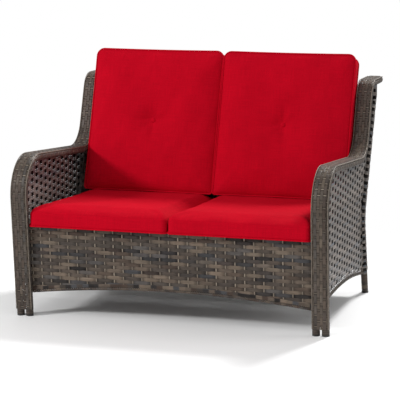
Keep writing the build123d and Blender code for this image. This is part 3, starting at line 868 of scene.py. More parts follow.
@dataclass
class SideView:
    """Lines of the loveseat's side view, as (y, z), and the tubes that follow them."""

    face: tuple = (
        (-0.4715, 0.0), (-0.5225, 0.611), (0.20143, 0.551), (0.29943, 0.832), (0.50443, 0.830)
    )
    face_radii: tuple = (0.142, 0.115, 0.075)
    post: tuple = ((0.26243, 0.0), (0.16243, 0.322), (0.36843, 0.768))
    post_bend: float = 0.150
    tube_radius: float = 0.011
    post_radius: float = 0.0105
    fit_gap: float = 0.0003
    skin: float = 0.0027
    tube_spacing: float = 0.035
    half_width: float = 0.595
    edge_margin: float = 0.002
    post_outset: float = 0.002
    foot_top: float = 0.026
    glide_top: float = 0.006
    step: float = 0.003

    def __post_init__(self) -> None:
        """Works out the places that the tubes and their skins share."""
        self.skin_radius = self.tube_radius + self.fit_gap + self.skin
        self.weave_radius = self.tube_radius + self.fit_gap + self.skin / 2
        self.outer_x = self.half_width - self.edge_margin - self.skin_radius
        self.inner_x = self.outer_x - self.tube_spacing
        self.band_x = (self.outer_x + self.inner_x) / 2
        self.post_x = self.outer_x + self.post_outset
        self.post_skin_radius = self.post_radius + self.fit_gap + self.skin
        self.post_weave_radius = self.post_radius + self.fit_gap + self.skin / 2

    def at_depth(self, depth: float) -> Array:
        """Points of the band's side view at a depth behind its face, as (y, z)."""
        radii = [self.face_radii[0] - depth, self.face_radii[1] + depth, self.face_radii[2] - depth]
        return rounded_line(shifted(self.face, depth), radii, self.step)

    def post_points(self, forward: float = 0.0) -> Array:
        """Points of the rear post's side view, moved forward, as (y, z)."""
        corners = shifted(self.post, -forward)
        return rounded_line(corners, [self.post_bend + forward], self.step)

    def line(self, points: Array, x: float, side: int) -> Line:
        """A side view's points as a line in space at a distance from the middle."""
        placed = np.column_stack([np.full(len(points), side * x), points])
        return Line(placed, np.array([float(side), 0.0, 0.0]))


@dataclass
class ArmBand:
    """Woven skin of a pair of arm tubes: strands along the band, over and under hoops."""

    view: SideView
    strands: int = 14
    hoop_pitch: float = 0.0205
    leg_length: float = 0.50
    leg_hoop_shade: float = 0.5
    foot_length: float = 0.05
    hoop_points: int = 44
    relief: float = 0.8
    weave: Weave = Weave(
        Strand(0.0106, 0.0013), Strand(0.0030, 0.0014), 0.0107, 0.0205, dip=0.0085, narrow=0.80,
        step=0.0042, shade=0.55,
    )

    def build(self, side: int, name: str, finish: bpy.types.Material) -> bpy.types.Object:
        """Weaves the band of one side, each next strand dipping at the other hoops."""
        view = self.view
        line = view.line(view.at_depth(view.skin_radius), view.band_x, side)
        surface = SlotSurface(line, view.tube_spacing / 2, view.weave_radius)
        low, high = view.foot_top, line.length
        band = Strands(Palette.BAND.tones, Seed.BAND + side)
        for number in range(self.strands):
            place = (number + 0.5) * surface.girth / self.strands
            first_dip = low + (0.5 + number % 2) * self.hoop_pitch
            run, lift, share, tone = self.weave.run(band, low, high, first_dip, 2 * self.hoop_pitch)
            band.lay(
                surface, run, np.full_like(run, place), lift * self.relief, self.weave.weaver,
                Across.SECOND, share=share, tone=tone,
            )
        around = np.linspace(0, surface.girth, self.hoop_points + 1)[:-1]
        light = Strands(Palette.STAKE.tones, Seed.HOOP + side)
        for number in range(int((high - low) / self.hoop_pitch)):
            place = low + (number + 0.5) * self.hoop_pitch
            # Painted shade: hoops up the leg, between its foot and its knee, are darkened by
            # leg_hoop_shade, as less light falls on them there.
            leg = low + self.foot_length < place < self.leg_length
            tone = light.pick(1)[0] * (self.leg_hoop_shade if leg else 1)
            band.lay(
                surface, np.full_like(around, place), around, np.zeros_like(around),
                self.weave.stake, Across.FIRST, ring=True, tone=np.tile(tone, (len(around), 1)),
            )
        return outward(band, name, finish)


@dataclass
class WoundTube:
    """A flat strand wound round a tube, turn beside turn."""

    strand: Strand = Strand(0.0078, 0.0016)
    pitch: float = 0.0082
    turn_points: int = 16
    tone_turns: float = 1.7
    hoop_points: int = 24
    window: float = 0.95
    window_shade: float = 0.08

    def wind(self, wraps: Strands, line: Line, radius: float, low: float, high: float) -> None:
        """Winds from one distance to another: the distance grows by a pitch each turn."""
        turns = (high - low - self.strand.width) / self.pitch
        angle = np.linspace(0, turns * 2 * math.pi, round(turns * self.turn_points) + 1)
        along = low + self.strand.width / 2 + angle / (2 * math.pi) * self.pitch
        number = np.floor(angle / (2 * math.pi) / self.tone_turns).astype(int)
        wraps.lay(
            TubeSurface(line, radius), along, angle, np.zeros_like(angle), self.strand,
            Across.FIRST, tone=wraps.pick(number.max() + 1)[number],
        )

    def hoops(
        self, wraps: Strands, line: Line, radius: float, low: float, high: float, facing: float
    ) -> None:
        """Turns the side panel's weavers round a tube, two by two, with painted shadow windows.

        Args:
            wraps: Gathers the hoops.
            line: Middle line of the tube.
            radius: Radius of the hoops' middle.
            low: Distance along the line of the first hoop.
            high: Distance that the last hoop stays below.
            facing: Angle of the middle of the painted shadow of the windows.
        """
        around = round_angles(self.hoop_points)
        zero = np.zeros_like(around)
        under = np.cos(around - facing) > math.cos(self.window)
        for number in range(int((high - low) / self.pitch)):
            # Painted shadow: every other pair is darkened within the window angle, standing for a
            # dark window of the weave.
            dark = np.where(under & (number // 2 % 2 == 1), self.window_shade, 1.0)
            wraps.lay(
                TubeSurface(line, radius), zero + low + number * self.pitch, around, zero,
                self.strand, Across.FIRST, ring=True, tone=wraps.pick(1) * dark[:, None],
            )


@dataclass
class SideSurface:
    """Upright plane of a side panel that swells round the outside of the rear post."""

    view: SideView
    side: int
    post: Array

    def __call__(self, first: Array, second: Array, lift: Array) -> Array:
        """Point at a distance to the rear, a height and a lift outwards.

        Over the post, the plane comes out as a circle of the post's skin does: the root
        of its radius squared less the distance from the post's line squared.
        """
        view = self.view
        spread = first - np.interp(second, self.post[:, 1], self.post[:, 0])
        radius = view.post_skin_radius + view.fit_gap
        circle = np.sqrt(np.maximum(radius**2 - spread**2, 0)) + view.post_outset
        swell = np.where(spread > 0, circle, circle * (1 + np.minimum(spread / radius, 0)) ** 0.3)
        out = view.outer_x + np.where(spread < -radius, 0, swell) + lift
        return np.stack(np.broadcast_arrays(self.side * out, first, second), -1)


@dataclass
class WovenPanels:
    """The flat woven panels of the frame: sides, aprons, back and seat deck."""

    view: SideView
    apron_depth: float = 0.025
    apron_thickness: float = 0.008
    apron_top_z: float = 0.341
    apron_end_z: float = 0.096
    apron_mid_z: float = 0.131
    apron_half: float = 0.53486
    rear_thickness: float = 0.006
    rear_end_z: float = 0.104
    rear_mid_z: float = 0.131
    rear_half: float = 0.5669
    back_height: float = 0.492
    back_thickness: float = 0.006
    deck_half: float = 0.573
    deck_depth: float = 0.6097
    deck_thickness: float = 0.005
    bead_radius: float = 0.005
    lacing_gap: float = 0.010
    lacing_pitch: float = 0.022
    lacing: Strand = Strand(0.0050, 0.0012)
    lacing_slant: float = 0.4
    lacing_reach: float = 2.4
    lacing_clear: float = 1.15
    lacing_drop: float = 1.3
    lacing_points: int = 24
    border: Strand = Strand(0.0140, 0.0014)
    border_wrap: float = 0.022
    top_tuck: float = 0.005

    # The side weave's dips are painted almost black, as shade of the weave's windows.
    side_weave: Weave = Weave(
        Strand(0.0069, 0.0008), Strand(0.0100, 0.0006), 0.01365, 0.0450, dip=0.0190, narrow=0.92,
        step=0.0040, shade=0.97, ply=2, steep=2.0, slack=0.0,
    )
    apron_weave: Weave = Weave(
        Strand(0.0142, 0.0010), Strand(0.0046, 0.0017), 0.0132, 0.0352, dip=0.0190, narrow=1.0,
        shade=0.42, own=0.7, slack=0.0001,
    )
    back_weave: Weave = Weave(
        Strand(0.0142, 0.0010), Strand(0.0060, 0.0017), 0.0132, 0.0444, dip=0.0240, narrow=1.0,
        step=0.0055,
    )
    deck_weave: Weave = Weave(
        Strand(0.0150, 0.0014), Strand(0.0090, 0.0018), 0.0158, 0.0500, dip=0.014, narrow=0.82,
        step=0.007,
    )

    side_arch: tuple = ((-0.1155, 0.136),)
    side_arch_front_z: float = 0.134
    side_arch_rear_z: float = 0.086

    def side_outline(self) -> Array:
        """Closed outline of a side panel, as (y, z).

        A line just inside the band's rear from the arch to the rear post's rear line,
        down that line to the arch, and an arc through three points back.
        """
        view = self.view
        band = view.at_depth(2 * view.skin_radius - self.top_tuck)
        post = view.post_points(-view.post_skin_radius * 0.9)
        post = post[post[:, 1] >= self.side_arch_rear_z]
        band = band[band[:, 1] >= self.side_arch_front_z]
        post_y = np.interp(band[:, 1], post[:, 1], post[:, 0])
        past = np.flatnonzero((band[:, 0] > post_y) & (band[:, 1] > view.face[2][1]))
        band = band[: past[0]] if len(past) else band
        post = post[post[:, 1] <= band[-1][1]]
        arch = arc_through(post[0], self.side_arch[0], band[0], 40)
        return np.concatenate([band, post[::-1], arch[1:-1] + (0, self.lacing_gap)])

    def leaning(self, origin: Array, way: Array) -> PlaneSurface:
        """Plane that holds the X axis and a direction of the side view."""
        up = np.array([0, *(way / np.linalg.norm(way))])
        return PlaneSurface(np.array([0, *origin]), np.array([1.0, 0, 0]), up)

    def front_plane(self) -> PlaneSurface:
        """Middle plane of the front apron, with its zero at the floor."""
        foot, knee = (np.array(c) for c in shifted(self.view.face, self.apron_depth)[:2])
        surface = self.leaning(foot - (knee - foot) * foot[1] / (knee - foot)[1], knee - foot)
        surface.origin = surface.origin - surface.normal * self.apron_thickness / 2
        return surface

    def rear_plane(self) -> PlaneSurface:
        """Middle plane of the rear apron, behind the rear rail, parallel to the posts' feet."""
        low, high = (np.array(corner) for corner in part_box("rear_rail"))
        rail = (low + high)[1:] / 2
        foot, waist = (np.array(c) for c in self.view.post[:2])
        way = (waist - foot) / np.linalg.norm(waist - foot)
        behind = np.array([way[1], -way[0]])
        place = rail + behind * ((high - low)[2] / 2 + self.rear_thickness / 2)
        return self.leaning(place - way * place[1] / way[1], way)

    def apron_outline(
        self, surface: PlaneSurface, half: float, end_z: float, mid_z: float, top_z: float
    ) -> tuple[Array, Array]:
        """Closed outline of an apron in its plane, and its arched lower edge."""
        low, mid, top = ((z - surface.origin[2]) / surface.up[2] for z in (end_z, mid_z, top_z))
        arch = arc_through((-half, low), (0, mid), (half, low), 60)
        return np.concatenate([arch, [[half, top], [-half, top]]]), arch

    def bead_line(self, surface: PlaneSurface, arch: Array) -> Line:
        """Centre line of the bead inside an arched edge."""
        chord, middle = (arch[0] + arch[-1]) / 2, arch[len(arch) // 2]
        sagitta, half = np.linalg.norm(middle - chord), np.linalg.norm(arch[0] - chord)
        radius = (half**2 + sagitta**2) / (2 * sagitta)
        centre = middle + (chord - middle) / sagitta * radius
        inner = centre + (arch - centre) * (1 - (self.bead_radius + self.view.fit_gap) / radius)
        points = surface(inner[:, 0], inner[:, 1], np.zeros(len(inner)))
        return Line(points, surface.normal)

    def woven(
        self, name: str, weave: Weave, surface: Surface, outline: Array, palette: Palette,
        stakes: Palette, finish: bpy.types.Material, arch: Array | None = None,
    ) -> list[bpy.types.Object]:
        """Weaves one panel as two pieces: its weavers and its stakes.

        Where the panel ends in an arch, a wider strand binds it in front and behind.

        Args:
            name: Start of the pieces' names; its letters add up to the seed.
            weave: The pattern.
            surface: The surface to weave on.
            outline: Closed outline in the surface's two distances.
            palette: Tones of the weavers.
            stakes: Tones of the stakes.
            finish: Material of both pieces.
            arch: Arched lower edge, where there is one.

        Returns:
            The weavers' piece and the stakes' piece.
        """
        seed = sum(map(ord, name))
        weavers, uprights = Strands(palette.tones, seed), Strands(stakes.tones, seed + 1)
        weave.fill(weavers, uprights, surface, outline)
        if arch is not None:
            run = np.linspace(arch[0, 0], arch[-1, 0], 240)
            rise = np.interp(run, arch[:, 0], arch[:, 1]) + self.border.width / 2
            wrap = ((run - run[0]) / self.border_wrap).astype(int)
            for level in (-1, 1):
                weavers.lay(
                    surface, run, rise, np.full_like(run, level * weave.swing), self.border,
                    Across.SECOND, tone=weavers.pick(wrap[-1] + 1)[wrap],
                )
        return [
            outward(weavers, f"{name}_weave", finish), outward(uprights, f"{name}_stakes", finish),
        ]

    def side_panel(
        self, side: int, name: str, finish: bpy.types.Material
    ) -> list[bpy.types.Object]:
        """Weaves one side panel."""
        surface = SideSurface(self.view, side, self.view.post_points())
        outline = self.side_outline()
        return self.woven(
            name, self.side_weave, surface, outline, Palette.SIDE, Palette.WINDOW_SHADE, finish
        )

    def side_plane(self, side: int) -> PlaneSurface:
        """Upright middle plane of a side panel, to the rear and up."""
        origin = np.array([side * self.view.outer_x, 0, 0])
        return PlaneSurface(origin, np.array([0, 1.0, 0]), np.array([0, 0, 1.0]))

    def side_bead(self, side: int) -> Line:
        """Centre line of the bead along a side panel's arched edge."""
        outline = self.side_outline()
        arch = arc_through(outline[0], self.side_arch[0], self.rear_arch_end(outline), 40)
        return self.bead_line(self.side_plane(side), arch)

    def lace(self, wraps: Strands, side: int) -> None:
        """Laces a side panel's last row to its bead with slanted loops.

        Each loop is an ellipse round the bead and the row, and leans to the rear by a
        share of its own height.
        """
        bead = self.side_bead(side)
        turn = round_angles(self.lacing_points)
        height = (self.lacing_gap + self.lacing_reach * self.bead_radius) / 2
        depth = self.lacing_clear * self.bead_radius
        drop = self.lacing_drop * self.bead_radius
        surface = self.side_plane(side)
        for number in range(1, int(bead.length / self.lacing_pitch)):
            place = bead.at(np.array([number * self.lacing_pitch]))[0][0]
            up = height * np.cos(turn)
            wraps.lay(
                surface, place[1] + self.lacing_slant * up, place[2] + up + height - drop,
                depth * np.sin(turn), self.lacing, Across.FIRST, ring=True,
            )

    def rear_arch_end(self, outline: Array) -> Array:
        """Where the side panel's arched edge meets the rear post."""
        return outline[np.argmin(outline[:, 1])]

    def front_apron(self, finish: bpy.types.Material) -> tuple[list[bpy.types.Object], Line]:
        """Weaves the front apron and gives its bead's line."""
        surface = self.front_plane()
        outline, arch = self.apron_outline(
            surface, self.apron_half, self.apron_end_z, self.apron_mid_z, self.apron_top_z
        )
        pieces = self.woven(
            "front_apron", self.apron_weave, surface, outline, Palette.APRON, Palette.STAKE, finish,
            arch,
        )
        return pieces, self.bead_line(surface, arch)

    def rear_apron(self, finish: bpy.types.Material) -> tuple[list[bpy.types.Object], Line]:
        """Weaves the rear apron and gives its bead's line."""
        surface = self.rear_plane()
        outline, arch = self.apron_outline(
            surface, self.rear_half, self.rear_end_z, self.rear_mid_z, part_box("rear_apron")[1][2]
        )
        pieces = self.woven(
            "rear_apron", self.back_weave, surface, outline, Palette.APRON, Palette.STAKE, finish,
            arch,
        )
        return pieces, self.bead_line(surface, arch)

    def flat(self, plane: PlaneSurface, thickness: float) -> PlaneSurface:
        """Plane through the middle of a panel whose face lies on a plane."""
        return PlaneSurface(plane.origin - plane.normal * thickness / 2, plane.across, plane.up)

    def back(self, plane: PlaneSurface, finish: bpy.types.Material) -> list[bpy.types.Object]:
        """Weaves the back panel."""
        half, top = self.rear_half, self.back_height
        outline = np.array([[-half, 0.0], [half, 0.0], [half, top], [-half, top]])
        surface = self.flat(plane, self.back_thickness)
        return self.woven(
            "back_panel", self.back_weave, surface, outline, Palette.APRON, Palette.STAKE, finish
        )

    def deck(self, plane: PlaneSurface, finish: bpy.types.Material) -> list[bpy.types.Object]:
        """Weaves the seat deck."""
        half, depth = self.deck_half, self.deck_depth
        outline = np.array([[-half, 0.0], [half, 0.0], [half, depth], [-half, depth]])
        surface = self.flat(plane, self.deck_thickness)
        return self.woven(
            "seat_deck", self.deck_weave, surface, outline, Palette.APRON, Palette.DARK, finish
        )


def arc_through(
    first: Array | tuple, middle: Array | tuple, last: Array | tuple, count: int
) -> Array:
    """Points of the arc through three points of a plane, evenly spaced.

    The centre is where the two perpendicular bisectors meet.

    Args:
        first: Start of the arc.
        middle: A point that it passes through.
        last: End of the arc.
        count: How many points.

    Returns:
        Points, count by 2.
    """
    a, b, c = (np.array(p, float) for p in (first, middle, last))
    matrix = 2 * np.array([b - a, c - b])
    centre = np.linalg.solve(matrix, np.array([b @ b - a @ a, c @ c - b @ b]))
    angles = [math.atan2(*(p - centre)[::-1]) for p in (a, b, c)]
    start, end = angles[0], angles[2]
    turn = (end - start + math.pi) % (2 * math.pi) - math.pi
    spread = start + np.linspace(0, turn, count)
    radius = np.linalg.norm(a - centre)
    return centre + radius * np.stack([np.cos(spread), np.sin(spread)], 1)


# Cushions


def clothed(piece: bpy.types.Object) -> bpy.types.Object:
    """Copies a piece's run along and across to the cloth's UV map."""
    mesh = piece.data
    runs = np.empty(len(mesh.vertices) * 3, np.float32)
    mesh.attributes["run"].data.foreach_get("vector", runs)
    corners = np.empty(len(mesh.loops), np.int32)
    mesh.loops.foreach_get("vertex_index", corners)
    layer = mesh.uv_layers.new(name="cloth")
    layer.data.foreach_set("uv", runs.reshape(-1, 3)[corners, :2].ravel())
    return piece


@dataclass
class CushionForm:
    """A boxed cushion in its own plane: outline across and up, height off the plane.

    Two square grids are the panels, and a band of rows joins their borders. A panel's
    grid keeps its square cells, and only its corners are drawn round.
    """

    low: tuple[float, float]
    high: tuple[float, float]
    seams: tuple[float, float]
    crown: float
    corner: float
    draw: float
    spacing: float = 0.008
    rounding: float = 0.034
    bulge: float = 0.008
    slant: float = 0.0
    low_corner: float = 0.018
    side_rounding: float = 0.034

    def __post_init__(self) -> None:
        """Counts the cells of the panels and of the band."""
        self.size = np.subtract(self.high, self.low)
        self.columns, self.rows = (int(round(s / self.spacing)) + 1 for s in self.size)
        self.band_rows = max(3, int(round((self.seams[1] - self.seams[0]) / self.spacing)))

    def panel(self) -> tuple[Array, Array, Array, Array]:
        """Places in the plane of a panel's grid, and the grid's own two shares.

        In the corner squares, each share a of the corner becomes a times the root of one
        less half the other share squared, which turns the square's rim into a quarter
        circle. The sides draw in by a parabola between the corners.
        """
        across, up = np.meshgrid(np.linspace(-1, 1, self.columns), np.linspace(-1, 1, self.rows))
        half = self.size / 2
        a, b = np.abs(across) * half[0], np.abs(up) * half[1]
        corner = np.where(up < 0, self.low_corner, self.corner)
        turn_a = np.clip((a - half[0] + corner) / corner, 0, 1)
        turn_b = np.clip((b - half[1] + corner) / corner, 0, 1)
        a = a - corner * turn_a * (1 - np.sqrt(1 - turn_b**2 / 2))
        b = b - corner * turn_b * (1 - np.sqrt(1 - turn_a**2 / 2))
        a = a - self.draw * (1 - up**2) * np.abs(across)
        b = b - self.draw * (1 - across**2) * np.abs(up)
        middle = (np.array(self.low) + self.high) / 2
        return middle[0] + np.sign(across) * a, middle[1] + np.sign(up) * b, across, up

    def border(self) -> Array:
        """Indices of a panel's border in order round it."""
        grid = np.arange(self.rows * self.columns).reshape(self.rows, self.columns)
        return np.concatenate([grid[0, :-1], grid[:-1, -1], grid[-1, :0:-1], grid[:0:-1, 0]])

    def build(self) -> tuple[Array, Array, Array, list[Array]]:
        """Points, faces, the faces' cloth coordinates and the two seam loops.

        Near the border the crown rises over its seam as a quarter ellipse in the distance
        from each side, and a bulge of one less each share squared lies on top.
        """
        a, b, across, up = self.panel()
        near = [
            np.minimum((1 - np.abs(share)) * size / 2 / reach, 1)
            for share, size, reach in zip(
                (across, up), self.size, (self.side_rounding, self.rounding)
            )
        ]
        dome = np.sqrt(1 - (1 - near[0]) ** 2) * np.sqrt(1 - (1 - near[1]) ** 2)
        base = np.stack([a, b, np.zeros_like(a)], -1)
        dip = (1 - across**2) ** 0.3 * (1 - up**2) ** 0.3
        base[..., 2] = self.seams[0] * (1 - dip)
        rise = (self.crown - self.bulge - self.seams[1]) * dome
        rise += self.bulge * (1 - across**2) * (1 - up**2)
        top = np.stack([a, b, self.seams[1] + rise], -1)
        border = self.border()
        level = np.linspace(0, 1, self.band_rows + 1)[1:-1]
        low, high = base.reshape(-1, 3)[border], top.reshape(-1, 3)[border]
        band = low + (high - low) * level[:, None, None]
        count = self.rows * self.columns
        points = np.concatenate([base.reshape(-1, 3), top.reshape(-1, 3), band.reshape(-1, 3)])
        points[:, 1] -= self.slant * points[:, 2] * (self.high[1] - points[:, 1]) / self.size[1]
        grid = np.arange(count).reshape(self.rows, self.columns)
        cells = quads(grid).reshape(-1, 4)
        inner = 2 * count + np.arange(len(band) * len(border)).reshape(len(band), -1)
        levels = np.concatenate([border[None], inner, border[None] + count])
        wrapped = np.concatenate([levels, levels[:, :1]], 1)
        faces = np.concatenate([cells[:, ::-1], cells + count, quads(wrapped).reshape(-1, 4)])
        flat = points[:, :2]
        around = distances(np.append(high, high[:1], 0))
        up_band = np.linspace(*self.seams, self.band_rows + 1)
        strip = np.stack(np.broadcast_arrays(around[None, :], up_band[:, None]), -1)
        side_cloth = quads(strip).reshape(-1, 4, 2)
        cloth = np.concatenate([flat[faces[: 2 * len(cells)]], side_cloth])
        return points, faces, cloth, [border, border + count]


@dataclass(frozen=True)
class Room:
    """The room that a cushion has between its neighbours, in its own plane."""

    low: tuple[float, float, float]
    high: tuple[float, float, float]
    lean: float = 0.0

    def keep(self, points: Array) -> Array:
        """Flattens the cushion where it meets a neighbour.

        The lower side's limit falls by the lean for each unit of height off the plane.
        """
        kept = np.clip(points, self.low, self.high)
        kept[:, 1] = np.maximum(points[:, 1], self.low[1] - self.lean * kept[:, 2])
        kept[:, 1] = np.minimum(kept[:, 1], self.high[1])
        return kept


@dataclass(frozen=True)
class Creasing:
    """Sizes of the puckers at the seams, the dents of the crown and the folds of the tuft."""

    crown_fade: float = 0.012
    pucker: float = 0.0011
    pucker_length: float = 0.027
    pucker_wander: float = 2.2
    pucker_reach: float = 0.014
    seam_gap: float = 0.006
    slow: tuple[float, float, float] = (19, 31, 47)
    dents: tuple = ((0.21, 0.0016), (0.13, 0.0010), (0.085, 0.0006))
    dent_cross: float = 0.8
    fold: float = 0.0034
    fold_at: float = 0.03
    fold_width: float = 0.045
    fold_gap: float = 0.02
    main_folds: float = 0.7


@dataclass
class Cushion:
    """A cushion's cover, blown up by a cloth simulation and set on its plane."""

    form: CushionForm
    plane: PlaneSurface
    room: Room
    most: float
    pressure: float = 4.0
    frames: int = 20
    sewn: tuple[int, ...] = (0, 1)
    give: float = 0.35
    pit: tuple[float, float] | None = None
    pit_radius: float = 0.056
    pit_level: float = 0.0843
    pit_floor: float = 0.0085
    droop: float = 0.0
    droop_from: float = 0.0
    droop_fade: float = 0.012
    piping_outset: float = 0.15
    marks: Creasing = Creasing()
    seed: int = 1

    def dimple(self, points: Array) -> tuple[Array, Array]:
        """Draws the crown in round the button, and tells which points the button holds."""
        held = np.zeros(len(points), bool)
        if self.pit is None:
            return points, held
        crown = points[:, 2] > self.form.seams[1]
        reach = np.hypot(points[:, 0] - self.pit[0], points[:, 1] - self.pit[1])
        share = np.clip((reach - self.pit_floor) / (self.pit_radius - self.pit_floor), 0, 1)
        fall = (1 - share * share * (3 - 2 * share)) * np.maximum(points[:, 2] - self.pit_level, 0)
        points[:, 2] -= np.where(crown, fall, 0)
        return points, crown & (reach < self.pit_floor)

    def creases(self, points: Array) -> Array:
        """Adds what sewing and use leave in the cloth: puckers at the seams and soft dents.

        The puckers are a sine of the distance round the border, strong where a slow sine
        is high and fading within a few centimetres of the seam. The dents are a sum of
        slow sines across the crown. Round the button, a fan of shallow folds fades out.
        """
        random = np.random.default_rng(self.seed)
        low, high = np.array(self.form.low), np.array(self.form.high)
        place = points[:, :2]
        inner = np.minimum(place - low, high - place)
        depth = np.clip(inner.min(1), 0, None)
        along = np.where(inner[:, 0] < inner[:, 1], place[:, 1], place[:, 0])
        marks = self.marks
        crown = np.clip((points[:, 2] - self.form.seams[1]) / marks.crown_fade, 0, 1)
        phase = random.uniform(0, 2 * math.pi, 8)
        one, two, wander = (along * pace for pace in marks.slow)
        strength = 0.5 + 0.5 * np.sin(one + phase[0]) * np.sin(two + phase[1])
        wander = marks.pucker_wander * np.sin(wander + phase[2])
        pucker = np.sin(along * 2 * math.pi / marks.pucker_length + wander)
        fade = np.exp(-depth / marks.pucker_reach)
        lift = marks.pucker * strength * pucker * fade * np.clip(depth / marks.seam_gap, 0, 1)
        for number, (size, height) in enumerate(marks.dents):
            way = random.uniform(0, math.pi)
            wave = place @ np.array([math.cos(way), math.sin(way)]) * 2 * math.pi / size
            cross = place @ np.array([-math.sin(way), math.cos(way)]) * 2 * math.pi / size
            dent = np.sin(wave + phase[3 + number]) * np.sin(marks.dent_cross * cross + phase[5])
            lift += height * dent
        if self.pit is not None:
            arm = place - self.pit
            reach, turn = np.hypot(*arm.T), np.arctan2(arm[:, 1], arm[:, 0])
            share = marks.main_folds
            fan = np.cos(2 * turn) ** 8 * share + (1 - share) * np.cos(7 * turn + phase[6])
            ring = np.exp(-((reach - marks.fold_at) ** 2) / marks.fold_width**2)
            lift -= marks.fold * fan * ring * np.clip(reach / marks.fold_gap, 0, 1)
        points[:, 2] += lift * crown
        return points

    def blown(self, points: Array, faces: Array, held: Array) -> Array:
        """Runs the cloth simulation with pressure inside and returns the points.

        A point that moved further than the most allowed is brought back along its way.
        """
        scene = bpy.context.scene
        mesh = bpy.data.meshes.new("cover_trial")
        mesh.from_pydata(points.tolist(), [], faces.tolist())
        trial = bpy.data.objects.new("cover_trial", mesh)
        scene.collection.objects.link(trial)
        group = trial.vertex_groups.new(name="held")
        group.add([int(k) for k in np.flatnonzero(held)], 1.0, "REPLACE")
        cloth = trial.modifiers.new("cloth", "CLOTH")
        cloth.settings.use_pressure = True
        cloth.settings.uniform_pressure_force = self.pressure
        cloth.settings.effector_weights.gravity = 0
        cloth.settings.vertex_group_mass = "held"
        cloth.settings.quality = 5
        cloth.point_cache.frame_start = 1
        cloth.point_cache.frame_end = self.frames
        for number in range(1, self.frames + 1):
            scene.frame_set(number)
        done = trial.evaluated_get(bpy.context.evaluated_depsgraph_get())
        moved = np.empty(len(points) * 3, np.float32)
        done.data.vertices.foreach_get("co", moved)
        moved = moved.reshape(-1, 3).astype(float)
        bpy.data.objects.remove(trial)
        bpy.data.meshes.remove(mesh)
        scene.frame_set(1)
        shift = moved - points
        shift[:, :2] *= self.give
        size = np.linalg.norm(shift, axis=1)[:, None]
        return points + shift * np.minimum(1, self.most / np.maximum(size, 1e-9))

    def eased(self, points: Array) -> Array:
        """Evens out the crown twice: each inner point takes a quarter of its neighbours' mean."""
        rows, columns = self.form.rows, self.form.columns
        count = rows * columns
        grid = points[count : 2 * count].reshape(rows, columns, 3)
        for _ in range(2):
            mean = (grid[:-2, 1:-1] + grid[2:, 1:-1] + grid[1:-1, :-2] + grid[1:-1, 2:]) / 4
            grid[1:-1, 1:-1] += (mean - grid[1:-1, 1:-1]) * 0.5
        return points

    def drooped(self, points: Array) -> Array:
        """Lets the lower part of the front lip hang over the edge that carries it."""
        reach = np.clip((self.droop_from - points[:, 1]) / self.droop_fade, 0, 1)
        points[:, 2] -= self.droop * reach * np.clip(1 - points[:, 2] / self.form.crown, 0, 1)
        return points

    def placed(self, points: Array) -> Array:
        """Points of the cushion's own plane in the shared frame."""
        return self.plane(points[:, 0], points[:, 1], points[:, 2])

    def sew(self, name: str, finish: bpy.types.Material) -> tuple[bpy.types.Object, list[Array]]:
        """Makes the cover and returns it with its two seam lines in the cushion's plane."""
        points, faces, cloth, seams = self.form.build()
        points, held = self.dimple(points)
        inner = np.minimum(points[:, :2] - self.form.low, self.form.high - points[:, :2]).min(1)
        held |= (points[:, 2] < 0.25 * self.form.seams[0]) & (inner > 0.03)
        for number in self.sewn:
            held[seams[number]] = True
        points = self.eased(self.blown(points, faces, held))
        points = self.drooped(self.room.keep(self.creases(points)))
        mesh = bpy.data.meshes.new(name)
        mesh.from_pydata(self.placed(points).tolist(), [], faces.tolist())
        layer = mesh.uv_layers.new(name="cloth")
        layer.data.foreach_set("uv", cloth.astype(np.float32).ravel())
        mesh.polygons.foreach_set("use_smooth", np.ones(len(faces), bool))
        mesh.materials.append(finish)
        cover = bpy.data.objects.new(name, mesh)
        bpy.context.scene.collection.objects.link(cover)
        smooth = cover.modifiers.new("smooth", "SUBSURF")
        smooth.levels = smooth.render_levels = 1
        return cover, [points[loop] for loop in seams]

    def piping(
        self, name: str, loops: list[Array], finish: bpy.types.Material, radius: float = 0.0030
    ) -> bpy.types.Object:
        """Sews a round cord along seam lines.

        The cord's section turns with the line: one side is the line's way from the
        cushion's middle, and the other is its plane's normal.
        """
        mesher = Mesher()
        angle = round_angles(10)
        cos, sin = np.cos(angle)[None, :, None], np.sin(angle)[None, :, None]
        middle = (np.array(self.form.low) + self.form.high) / 2
        for loop in loops:
            ways = np.roll(loop, -1, axis=0) - np.roll(loop, 1, axis=0)
            ways /= np.linalg.norm(ways, axis=1)[:, None]
            outs = np.stack([ways[:, 1], -ways[:, 0], np.zeros(len(loop))], 1)
            outs *= np.sign(((loop[:, :2] - middle) * outs[:, :2]).sum(1))[:, None]
            outs /= np.linalg.norm(outs, axis=1)[:, None]
            rise = np.cross(ways, outs)
            centre = loop + outs * radius * self.piping_outset
            ring = cos * outs[:, None] + sin * rise[:, None]
            points = centre[:, None] + radius * ring
            placed = self.plane(points[..., 0], points[..., 1], points[..., 2])
            along = distances(loop)[:, None]
            run = np.stack(np.broadcast_arrays(along, angle * radius, 0.0), -1)
            mesher.grid(placed, np.ones(3), run, around=True, ring=True)
        return clothed(mesher.build(name, finish))


